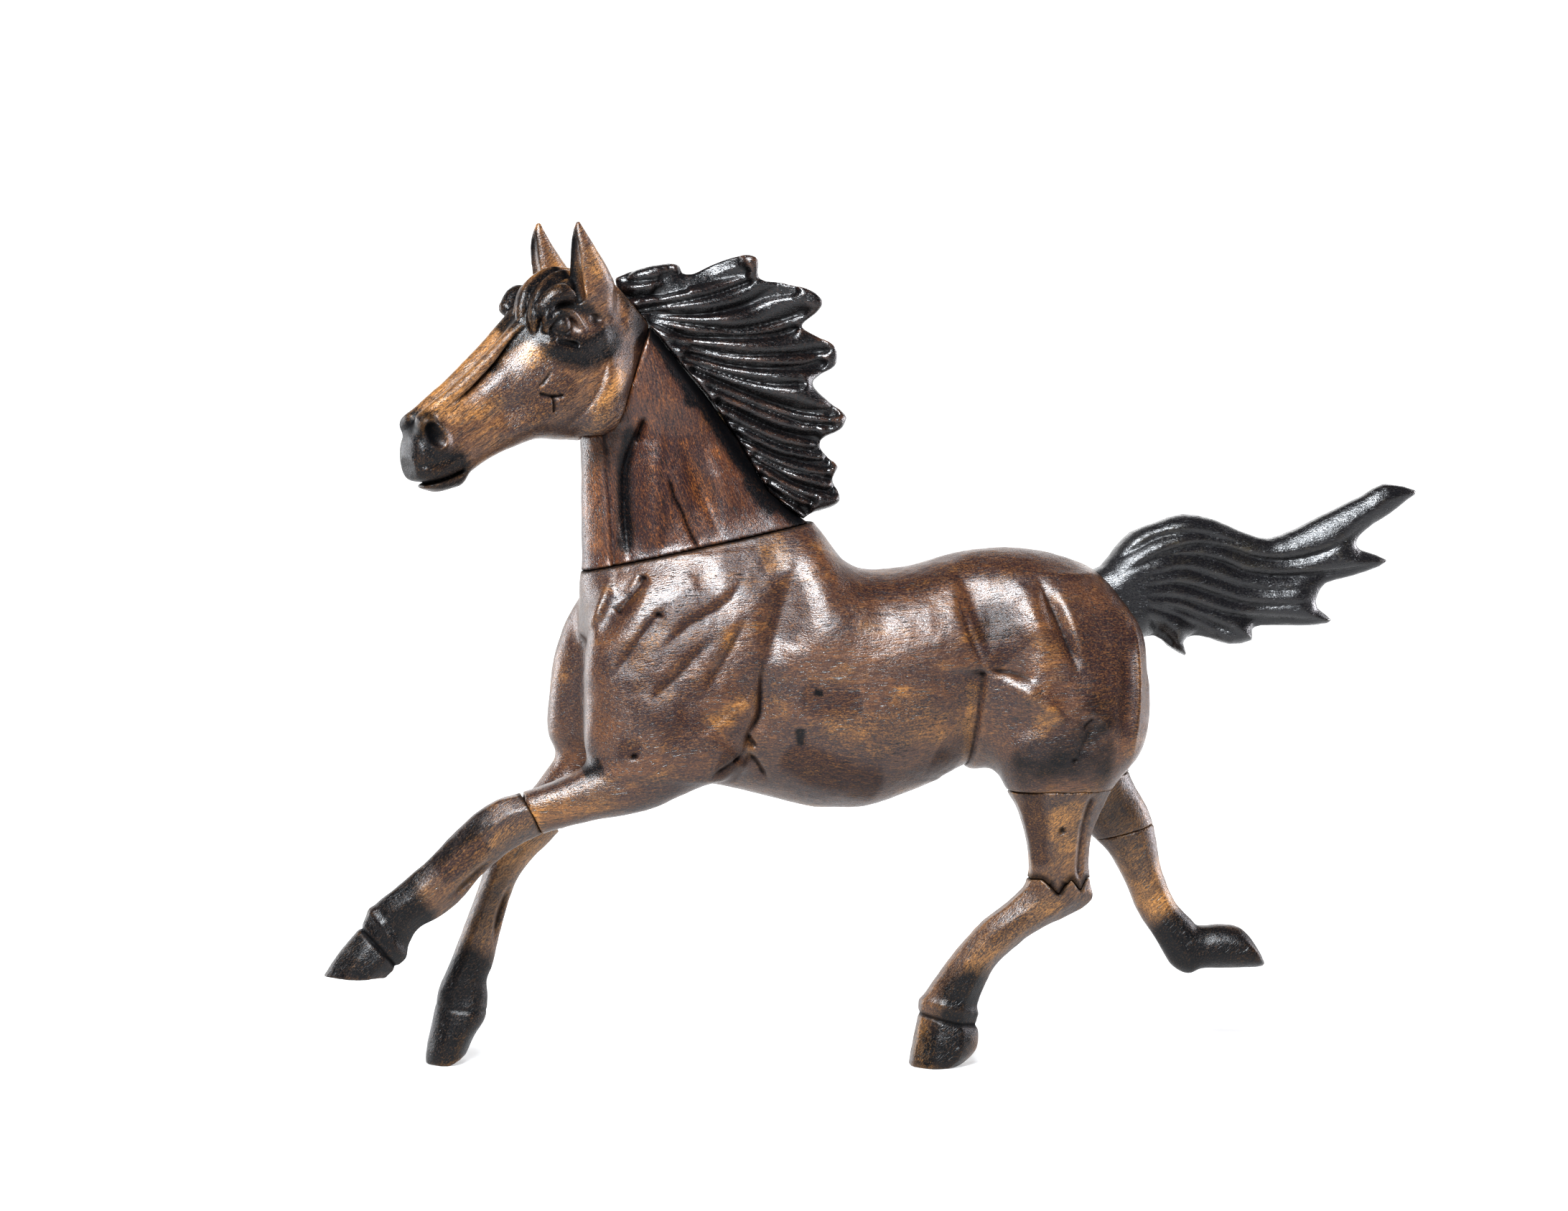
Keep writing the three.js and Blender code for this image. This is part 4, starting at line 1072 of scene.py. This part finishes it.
    # Painted shade inside the nostril's hole
    block.stain("grime", [(-66.4, 178.4), (-64.4, 175.8)], 2.4, 1.0, taper=0.0)
    block.stain("black", [(-31, 206), (-27, 200), (-20, 199), (-13, 202)], 5.2, 1.0, taper=0.0)
    block.stain("gold", [(-27.4, 206)], 1.5, 0.5)
    block.stain("black", [(-30, 210), (-22, 211), (-17, 208)], 2.6, 0.7, taper=0.0)
    block.stain("black", [(-26, 217.5), (-33, 213), (-36, 206)], 4.2, 1.0, taper=0.0)
    block.stain("black", [(-35, 206), (-42, 198), (-47, 192)], 1.6, 0.8)
    block.stain("black", [(-4, 214), (0, 203)], 4.0, 0.7, taper=0.0)
    block.stain("dark", [(-13, 184), (-6, 186), (-2, 194)], 3.4, 0.9)
    block.stain("dark", [(-40, 184), (-31, 186), (-23, 192)], 5.0, 0.7)
    block.stain("gold", [(-19, 229), (-15, 218)], 3.0, 0.7)
    block.stain("dark", [(-12, 212), (-6, 203)], 3.0, 0.7)
    block.stain("black", [(-24, 231), (-24, 222), (-22.6, 213)], 2.0, 1.0, taper=0.0)
    # Painted shade down the inside of the ear's hollow
    block.stain("grime", [(-23.6, 229), (-23.6, 222), (-22, 214)], 1.1, 1.0, taper=0.0)
    block.stain("gold", [(-38, 199), (-34, 195)], 3.0, 0.9)
    block.stain("gold", [(-19, 180), (-12, 187), (-8, 196)], 3.0, 0.9)
    block.stain("gold", [(-62, 181), (-48, 184), (-42, 188)], 3.0, 0.6)
    # A painted highlight down the nose bridge, from the forehead to the nostril
    block.stain("gold", [(-38, 206), (-50, 195), (-64, 184)], 4.6, 1.0, taper=0.0)
    block.stain("gold", [(-67.6, 176.6)], 0.9, 1.0)
    return block


# Windblown hair: the free edge of each block in side view, and the cuts between its strands.
MANE_EDGE = [
    (-72.3, 219.5), (-66, 222), (-58.6, 223.7), (-54.4, 223.2), (-53.3, 221), (-50.2, 221),
    (-46.1, 223), (-39.5, 225.6), (-35.3, 226), (-33, 224.6), (-32.4, 219.8), (-26.2, 218.8),
    (-19.5, 217), (-16, 214.9), (-15, 212.7), (-16.6, 210), (-20, 207), (-18.6, 205.4),
    (-14.5, 203.5), (-11.2, 201.6), (-10, 198.7), (-10.6, 195.6), (-14.5, 193.3), (-17.1, 191),
    (-15.4, 188.6), (-11.9, 185.8), (-7.9, 182.2), (-8.1, 180), (-9.6, 177.9), (-13.8, 175.8),
    (-14.4, 173.3), (-12.4, 170.8), (-9.7, 168), (-10.7, 165.5), (-10.6, 163.4), (-9.3, 160.1),
    (-9.4, 158), (-12.2, 156.3), (-17.2, 154.8), (-19.7, 153),
]
MANE_CREST = [(-24, 152), (-33, 163), (-42, 177), (-51, 189), (-61, 200), (-71, 210)]
MANE_ROOT = 7.0  # how far each cut is carried back past its first point
MANE_CUTS = [
    [(-72, 218), (-63, 218.6), (-55, 220.6)],
    [(-68, 214), (-60, 215), (-51.5, 217.2)],
    [(-54, 219.6), (-46, 221.6), (-37, 224.8)],
    [(-56, 216.6), (-44, 219.2), (-34.5, 221.8)],
    [(-64, 211), (-51.5, 213.4), (-43.5, 215.4), (-33, 219.4)],
    [(-61, 209.6), (-48.5, 209.6), (-38, 211.4), (-29, 215.2), (-20.5, 216.2)],
    [(-58, 207.6), (-46, 206), (-38, 205.5), (-27.6, 207.9), (-17, 211.6)],
    [(-59, 206), (-52.6, 203.6), (-43.7, 203.2), (-34, 203.2), (-26, 204.2), (-20, 206.6)],
    [(-52, 200.8), (-41.3, 198.8), (-29, 198.6), (-17.5, 199.4), (-11, 200.4)],
    [(-48, 197.6), (-40.7, 195.8), (-30, 194.8), (-19, 195), (-12, 197)],
    [(-49, 195.6), (-38, 192.2), (-29, 190.6), (-18.6, 190.6)],
    [(-47, 192.6), (-38, 189), (-28.2, 185.4), (-20, 183.2), (-9, 182)],
    [(-42, 188), (-32, 184), (-20, 180), (-9.6, 179.4)],
    [(-39.6, 183.4), (-29, 178.6), (-19.3, 176), (-14, 175.2)],
    [(-37.6, 178.8), (-28.2, 174.6), (-22, 172.8), (-13.6, 171.6)],
    [(-35, 174.6), (-27, 170.9), (-17, 168.6), (-10.6, 168)],
    [(-32.6, 171), (-24.7, 167.2), (-15, 165), (-10.8, 164)],
    [(-29.6, 167.4), (-22.3, 163.4), (-15, 161.2), (-9.8, 160)],
    [(-27, 163), (-21, 160), (-15.6, 157.6)],
    [(-25, 159), (-20.6, 156.8), (-17.6, 155.2)],
]
TAIL_EDGE = [
    (60, 138), (66, 140.2), (70.2, 145.6), (74.5, 150), (81.6, 152.8), (89.3, 155),
    (98.2, 153.6), (107.1, 149.9), (114.3, 148.1), (122.5, 151), (131.3, 155.6), (141.1, 160.3),
    (147.4, 163.8), (156.8, 161.9), (154.4, 159.3), (149, 155.2), (144.6, 152.5), (140.8, 149.4),
    (139.5, 147.2), (140.8, 145), (148.9, 142), (141.7, 138.5), (136.3, 136.8), (131, 135.2),
    (128.7, 132), (128.6, 128.6), (132.9, 124.9), (128.8, 123.6), (122.7, 123.2), (112.6, 123.1),
    (110.3, 121.7), (110, 119), (103.5, 117.9), (98, 119.6), (93, 120.2), (90, 118.6),
    (91, 114.7), (86, 117.3), (81.5, 120.3), (76, 119), (70, 118), (60, 130),
]
TAIL_CUTS = [
    [(66, 140), (75.7, 145.9), (83, 149), (91.5, 149.8), (100.7, 147.9), (110, 145.6)],
    [
        (68, 137), (77.1, 141.9), (85, 144.9), (94.2, 146.3), (102.7, 144.9),
        (110, 142.6), (119.2, 142.2), (129, 144.6), (136, 148.6), (142, 153.6),
    ],
    [
        (72, 138.4), (80, 142.4), (89.6, 143.4), (99.4, 141.6),
        (107.3, 138.6), (119.2, 137.6), (132.3, 139), (146, 141.6),
    ],
    [(73, 136.6), (87.6, 139.6), (96.8, 137.4), (106, 134.6), (115.9, 133.6), (128, 134.6)],
    [(74, 134.6), (86.3, 135.4), (96.8, 132.6), (106, 129.9), (115.9, 129.4), (127.7, 130.6)],
    [(75, 132), (86.3, 131.6), (96.8, 128.2), (106, 126), (119.2, 125.6), (130.6, 125.2)],
    [(76, 130), (85, 127), (92.9, 123.6), (100.7, 119.8)],
    [(80, 130.4), (90, 127.4), (99, 123.6), (108, 120.4)],
    [(77.7, 127.6), (82.3, 122.8), (89.6, 116.6)],
]


def relief(block, outline, middle, thickness, edge, dome):
    """A slab with the outline's silhouette, domed in from its edge. `thickness` is a half width."""
    x = block.x[:, 0, :]
    z = block.z[0, :, :]
    depth = polygon_distance(x, z, outline)
    rise = np.clip(-depth / dome, 0, 1)
    half = edge + (thickness(x, z) - edge) * np.sqrt(1 - (1 - rise) ** 2)
    centre = middle(x, z) + 0 * half
    slope = np.hypot(*np.gradient(half, block.pitch)) + 0.5 * np.hypot(*np.gradient(centre, block.pitch))
    steep = 1 / np.sqrt(1 + np.minimum(slope, 2.0) ** 2)
    slab = (np.abs(block.y - centre[:, None, :]) - half[:, None, :]) * steep[:, None, :]
    block.d = -smooth_min(-slab, -depth[:, None, :], 0.4).astype(np.float32)
    np.clip(block.d, -BAND, BAND, out=block.d)
    core = np.abs(block.y - centre[:, None, :]) - 0.42 * half[:, None, :]
    return np.maximum(core, depth[:, None, :] + 0.25).astype(np.float32)


def mane_block():
    block = Block((-75, -13, 150), (-5, 11, 229), FINE_PITCH)
    outline = np.vstack([smooth_line(MANE_EDGE, 3), np.array(MANE_CREST)])

    def out_from_crest(x, z):
        return np.clip(-polygon_distance(x, z, CREST_SEAT), 0, 40)

    def thickness(x, z):
        return 8.6 - 0.13 * out_from_crest(x, z)

    def middle(x, z):
        sway = np.sin(x * 0.16 + z * 0.21) * 0.06 * out_from_crest(x, z)
        return -1.6 + sway - 0.02 * (z - 150)

    core = relief(block, outline, middle, thickness, edge=1.6, dome=6.0)
    for i, line in enumerate(MANE_CUTS):
        (ax, az), (bx, bz) = line[:2]
        run = MANE_ROOT / math.hypot(bx - ax, bz - az)
        cut = [(ax - run * (bx - ax), az - run * (bz - az)), *line]
        off_cut = [(px, pz - 1.1) for px, pz in cut]
        deep, shallow = (4.2, 2.4) if i % 2 else (2.6, 3.8)
        block.crease(cut, 1.7, 0.9, deep, NEAR, taper=0.08)
        block.crease(off_cut, 0.9, 1.7, shallow, OFF, taper=0.08)
    block.d = np.minimum(block.d, core)
    x = block.x[:, 0, :]
    z = block.z[0, :, :]
    block.keep(HALF_GAP + polygon_distance(x, z, CREST_SEAT)[:, None, :] + 0 * block.y)
    block.stain("gold", [(-61, 213), (-58, 209)], 1.6, 0.7, NEAR)
    return block


def tail_block():
    block = Block((57, -11, 112), (159, 11, 167), FINE_PITCH)
    outline = smooth_line(TAIL_EDGE, 2)

    def thickness(x, z):
        return np.clip(8.2 - 0.062 * np.clip(x - 88, 0, 80), 2.2, 8.2)

    def middle(x, z):
        return np.sin((x - 70) * 0.06) * 1.6 * np.clip((x - 80) / 40, 0, 1)

    core = relief(block, outline, middle, thickness, edge=0.7, dome=8.0)
    for i, cut in enumerate(TAIL_CUTS):
        off_cut = [(px, pz + 1.2) for px, pz in cut]
        block.crease(cut, 1.2, 2.6, 2.4 if i % 3 else 1.8, NEAR)
        block.crease(off_cut, 1.6, 1.6, 1.8, OFF)
    block.d = np.minimum(block.d, core)
    block.above(TAIL_SEAM)
    block.stain("gold", [(66, 142), (75, 147.6), (84, 150.6), (92, 151.6)], 1.6, 0.55)
    return block


def leg_block(sections, lo, hi, middle, facets=0.8):
    block = Block(lo, hi, FINE_PITCH)
    block.middle = middle
    block.loft(sections, LIMB_SQUARENESS, ring=56, spans=6, facets=facets)
    return block


def near_foreleg_block():
    block = leg_block(NEAR_FORELEG, (-155, -22, 24), (-88, -5, 84), -12.8)
    # The grooves at the hoof and down the forearm, and the forearm's glue line, are painted dark with grime
    # and painted shade
    block.stroke([(-142.6, 43), (-138, 38.4), (-133.6, 33.4), (-131.6, 30.6)], 0.6, 0.7, taper=0.0, grime=0.9)
    block.stroke([(-139, 46.4), (-134.6, 41), (-130, 34.4)], 1.4, -0.7, taper=0.0)
    block.stain("grime", [(-98.6, 78), (-96.2, 75), (-94.6, 72), (-93.2, 68.6)], 0.6, 0.8, taper=0.0)
    block.stroke([(-105, 62.4), (-112, 55), (-119, 48.6)], 0.9, 1.0, NEAR, grime=0.4)
    block.stain("black", [(-151, 29), (-142, 36), (-134, 38)], 10.0, 1.0, taper=0.0)
    block.stain("black", [(-133, 49), (-126, 43)], 6.5, 0.9, taper=0.0)
    block.stain("black", [(-104, 76), (-121, 62), (-136, 49)], 4.0, 0.62)
    block.stain("gold", [(-92, 73), (-102, 68), (-110, 58), (-119, 50)], 3.0, 0.55, NEAR)
    block.stain("dark", [(-108, 68), (-114, 62), (-122, 56)], 4.6, 0.8, NEAR)
    block.below(NEAR_FOREARM_SEAM)
    return block


def off_foreleg_block():
    block = leg_block(OFF_FORELEG, (-126, 2, -4), (-81, 22, 82), 11.5, facets=0.4)
    # Its grooves are painted dark inside with grime and painted shade
    block.stroke([(-123, 17.6), (-114, 15.6), (-105, 15)], 0.6, 0.25, taper=0.0, grime=0.2)
    block.stroke([(-99, 52), (-102.6, 42), (-104.4, 33)], 0.8, 1.2, NEAR, grime=0.7)
    block.stain("black", [(-118, 0), (-114, 12), (-111.5, 24)], 10.5, 1.0, taper=0.0)
    block.stain("gold", [(-88, 72), (-97, 58), (-103, 45), (-108, 38)], 6.0, 0.9, taper=0.0)
    block.below(OFF_FOREARM_SEAM)
    block.floor()
    return block


def hock_distance(block):
    """Distance to the near hock's zigzag line, negative above it."""
    distance = polygon_distance(block.x[:, 0, :], block.z[0, :, :], NEAR_HOCK_SEAT)
    return distance[:, None, :] + 0 * block.y


def near_gaskin_block():
    block = leg_block(NEAR_HIND, (30, -27, 48), (76, 0, 82), -12)
    block.stroke([(60.5, 78), (58.4, 70), (57.4, 60), (57.4, 53)], 0.9, 0.9, NEAR, taper=0.1, dark=0.6)
    # A nick painted dark inside with grime and painted shade
    block.stroke([(51.6, 69), (52.4, 66)], 0.9, 0.8, NEAR, grime=0.8)
    block.stain("gold", [(52, 76), (56, 70), (50, 62)], 3.4, 0.7, NEAR)
    block.stain("dark", [(43, 80), (46, 60)], 3.2, 0.9, NEAR, taper=0.0)
    block.stain("gold", [(52, 77), (53, 60)], 4.4, 0.8, NEAR)
    block.stain("black", [(40, 80.5), (70, 80.5)], 2.6, 0.8, taper=0.0)
    # A dark line along the hock's glue line: partly the joint, partly painted shade of the gap
    block.stain("grime", NEAR_HOCK_SEAT[2:8], 1.5, 0.9, taper=0.0)
    block.stroke([(49, 52.4), (52, 50.6), (54, 52.6)], 2.0, 0.9, NEAR, taper=0.1)
    block.below(NEAR_STIFLE_SEAM)
    block.keep(HALF_GAP + hock_distance(block), SEAM_ROUNDING)
    return block


def near_cannon_block():
    block = leg_block(NEAR_HIND, (8, -20, -3), (66, 3, 56), -7)
    # Its grooves are painted dark inside with grime and painted shade
    block.stroke([(12, 15.6), (18, 14), (24, 12.4), (32, 11.4)], 0.6, 0.6, taper=0.0, grime=0.8)
    block.stroke([(14, 18.6), (22, 17), (31, 14.6)], 1.4, -0.6, taper=0.0)
    block.stroke([(58, 43), (48, 37.6), (38, 31)], 0.9, 0.9, NEAR, grime=0.4)
    block.stain("black", [(19, 0), (22, 8), (26, 14), (27, 20)], 9.0, 0.9, taper=0.0)
    block.stain("gold", [(14, 12), (15, 2)], 2.6, 0.9, taper=0.0)
    block.stain("gold", [(56, 48), (44, 42), (33, 33), (26, 25)], 4.4, 0.85, NEAR)
    block.stain("dark", [(44, 44), (32, 35)], 2.0, 0.6, NEAR)
    block.stain("gold", [(15, 12), (17, 3)], 1.6, 0.8, NEAR)
    block.keep(HALF_GAP - hock_distance(block), rounding=0.3)
    # A dark line along the hock's glue line: partly the joint, partly painted shade of the gap
    block.stain("grime", NEAR_HOCK_SEAT[2:8], 0.5, 0.9, taper=0.0)
    block.floor()
    return block


def off_gaskin_block():
    block = leg_block(OFF_HIND, (50, 2, 56), (88, 24, 84), 13, facets=0.3)
    block.stain("gold", [(64, 76), (76, 68)], 8.0, 0.85, taper=0.0)
    block.below(OFF_STIFLE_SEAM)
    block.above(OFF_HOCK_SEAM)
    return block


def off_cannon_block():
    block = leg_block(OFF_HIND, (66, 4, 19), (121, 22, 68), 13, facets=0.3)
    block.stain("gold", [(76, 64), (82, 52), (88, 42)], 6.0, 0.85, taper=0.0)
    block.stain("black", [(92, 32), (98, 28), (110, 29), (119, 26)], 9.5, 1.0, taper=0.0)
    block.below(OFF_HOCK_SEAM)
    return block


# ---------------------------------------------------------------- the horse
body_wood = wood("body_wood", (1, 0, 0.05), BROWN, AMBER, SHADE, INK, 0.34)
neck_wood = wood(
    "neck_wood", (-0.35, 0, 1), colour(84, 50, 30), colour(156, 98, 44), SHADE, INK, 0.36, seed=40.0
)
head_wood = wood(
    "head_wood", (-0.8, -0.45, -0.6), colour(104, 72, 46), colour(166, 120, 66), SHADE, INK, 0.36, seed=80.0
)
leg_wood = wood(
    "leg_wood", (-0.75, 0, -0.7), colour(98, 68, 42), colour(164, 118, 62), SHADE, INK, 0.37, seed=120.0
)
mane_wood = wood(
    "mane_wood", (1, 0, -0.1), colour(84, 54, 38), colour(112, 76, 50), SHADE, colour(8, 9, 12), 0.29,
    dyed=1.0, seed=160.0,
)
tail_wood = wood(
    "tail_wood", (1, 0, 0.1), colour(48, 42, 38), colour(84, 74, 50), SHADE, colour(13, 14, 18), 0.33,
    dyed=0.9, seed=200.0,
)
peg_wood = wood(
    "peg_wood", (1, 0, 0), colour(190, 160, 118), colour(206, 178, 132), colour(150, 118, 80),
    colour(90, 66, 46), 0.7, seed=240.0,
)

place(torso_block(), "torso", "body_wood", body_wood, seed=3)
place(neck_block(), "neck", "neck_wood", neck_wood, seed=5)
place(head_block(), "head", "head_wood", head_wood, seed=7, turn=HEAD_TURN, unevenness=0.1)
place(mane_block(), "mane", "mane_wood", mane_wood, seed=9, unevenness=0.12)
place(tail_block(), "tail", "tail_wood", tail_wood, seed=11, unevenness=0.1)
place(near_foreleg_block(), "near_foreleg", "leg_wood", leg_wood, seed=13)
place(off_foreleg_block(), "off_foreleg", "leg_wood", leg_wood, seed=15)
place(near_gaskin_block(), "near_hind_gaskin", "leg_wood", leg_wood, seed=17)
place(near_cannon_block(), "near_hind_cannon", "leg_wood", leg_wood, seed=19)
place(off_gaskin_block(), "off_hind_gaskin", "leg_wood", leg_wood, seed=21)
place(off_cannon_block(), "off_hind_cannon", "leg_wood", leg_wood, seed=23)

for node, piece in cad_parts.items():
    if node.endswith("dowel") or "_dowel_" in node or "_peg_" in node:
        piece.data.materials.clear()
        piece.data.materials.append(peg_wood)

# ---------------------------------------------------------------- camera
CAMERA_TURN = math.radians(-8)
CAMERA_RISE = math.radians(3.5)
CAMERA_TILT = math.radians(0.5)
CAMERA_DISTANCE = 1050.0
CAMERA_TARGET = Vector((-24, 0, 129))
CAMERA_LENS = 86.54
SENSOR_WIDTH = 36
back = Vector(
    (
        math.sin(CAMERA_TURN) * math.cos(CAMERA_RISE),
        -math.cos(CAMERA_TURN) * math.cos(CAMERA_RISE),
        math.sin(CAMERA_RISE),
    )
)
level_right = Vector((math.cos(CAMERA_TURN), math.sin(CAMERA_TURN), 0))
level_up = back.cross(level_right)
right = level_right * math.cos(CAMERA_TILT) + level_up * math.sin(CAMERA_TILT)
up = level_up * math.cos(CAMERA_TILT) - level_right * math.sin(CAMERA_TILT)
camera_data = bpy.data.cameras.new("camera")
camera_data.lens = CAMERA_LENS
camera_data.sensor_width = SENSOR_WIDTH
camera = bpy.data.objects.new("camera", camera_data)
camera.matrix_world = Matrix.Translation((CAMERA_TARGET + back * CAMERA_DISTANCE + SHIFT) * MM) @ Matrix(
    (right, up, back)
).transposed().to_4x4()
bpy.context.scene.collection.objects.link(camera)
bpy.context.scene.camera = camera


# ---------------------------------------------------------------- studio
def softbox(name, location, target, size, power, tint=(1, 1, 1)):
    light = bpy.data.lights.new(name, "AREA")
    light.shape = "RECTANGLE"
    light.size, light.size_y = size
    light.energy = power
    light.color = tint
    lamp = bpy.data.objects.new(name, light)
    lamp.location = location
    lamp.rotation_mode = "QUATERNION"
    lamp.rotation_quaternion = (Vector(location) - Vector(target)).to_track_quat("Z", "Y")
    bpy.context.scene.collection.objects.link(lamp)


MIDDLE = (-0.02, 0.0, 0.12)
softbox("key_front_top", (-0.25, -0.75, 0.8), MIDDLE, (0.55, 0.36), 36, (0.92, 0.96, 1.0))
softbox("side_left", (-0.9, 0.5, 0.25), MIDDLE, (0.25, 0.6), 8, (0.95, 0.97, 1.0))
softbox("side_right", (0.9, 0.18, 0.3), MIDDLE, (0.25, 0.6), 9, (0.97, 0.95, 1.0))
softbox("back_top", (0.1, 0.9, 0.6), MIDDLE, (0.9, 0.4), 2)

WORLD_COLOUR = (0.97, 0.98, 1.0, 1.0)
WORLD_STRENGTH = 0.12
world = bpy.data.worlds.new("studio")
world.use_nodes = True
world.node_tree.nodes["Background"].inputs["Color"].default_value = WORLD_COLOUR
world.node_tree.nodes["Background"].inputs["Strength"].default_value = WORLD_STRENGTH
bpy.context.scene.world = world
bpy.context.scene.view_settings.view_transform = "Standard"
bpy.context.scene.view_settings.gamma = 0.8

# A pale floor that curves up behind, well away from the horse (m)
FLOOR_HALF_WIDTH = 3.0
FLOOR_BACK = 2.6
FLOOR_FRONT = -3.0
SWEEP_RADIUS = 0.7
SWEEP_STEPS = 16
WALL_TOP = 2.4
# It glows beyond these distances, so that it is white away from the horse: from none, to fully
GLOW_BEHIND = (-0.35, 0.35)
GLOW_IN_FRONT = (-0.7, -1.5)
GLOW_BESIDE = (0.45, 1.3)


def grey(value):
    return (value, value, value, 1.0)


def floor_profile():
    """The floor's section in Y and Z, from the front edge to the top of the wall."""
    profile = [(FLOOR_FRONT, 0.0)]
    for step in range(SWEEP_STEPS + 1):
        angle = math.pi / 2 * step / SWEEP_STEPS
        y = FLOOR_BACK - SWEEP_RADIUS + SWEEP_RADIUS * math.sin(angle)
        profile.append((y, SWEEP_RADIUS * (1 - math.cos(angle))))
    profile.append((FLOOR_BACK, WALL_TOP))
    return profile


def floor_material():
    sh = Shader("floor")
    coords = sh.node("ShaderNodeTexCoord").outputs["Object"]
    tone = sh.mix(sh.noise(coords, 40.0), grey(0.42), grey(0.44))
    place_in_room = sh.node("ShaderNodeSeparateXYZ", {0: coords})
    sideways = sh.math("ABSOLUTE", place_in_room.outputs["X"])
    glow = sh.math(
        "MAXIMUM",
        sh.ramp(place_in_room.outputs["Y"], *GLOW_BEHIND),
        sh.ramp(place_in_room.outputs["Y"], *GLOW_IN_FRONT),
    )
    glow = sh.math("MAXIMUM", glow, sh.ramp(sideways, *GLOW_BESIDE))
    look = {
        "Base Color": tone,
        "Roughness": 0.9,
        "Specular IOR Level": 0.1,
        "Emission Color": grey(1.0),
        "Emission Strength": glow,
    }
    sh.finish(sh.node("ShaderNodeBsdfPrincipled", look))
    return sh.material


profile = floor_profile()
vertices = [(x, y, z) for y, z in profile for x in (-FLOOR_HALF_WIDTH, FLOOR_HALF_WIDTH)]
faces = [(2 * i, 2 * i + 1, 2 * i + 3, 2 * i + 2) for i in range(len(profile) - 1)]
floor_mesh = bpy.data.meshes.new("floor")
floor_mesh.from_pydata(vertices, [], faces)
for polygon in floor_mesh.polygons:
    polygon.use_smooth = True
floor_mesh.materials.append(floor_material())
floor = bpy.data.objects.new("floor", floor_mesh)
bpy.context.scene.collection.objects.link(floor)
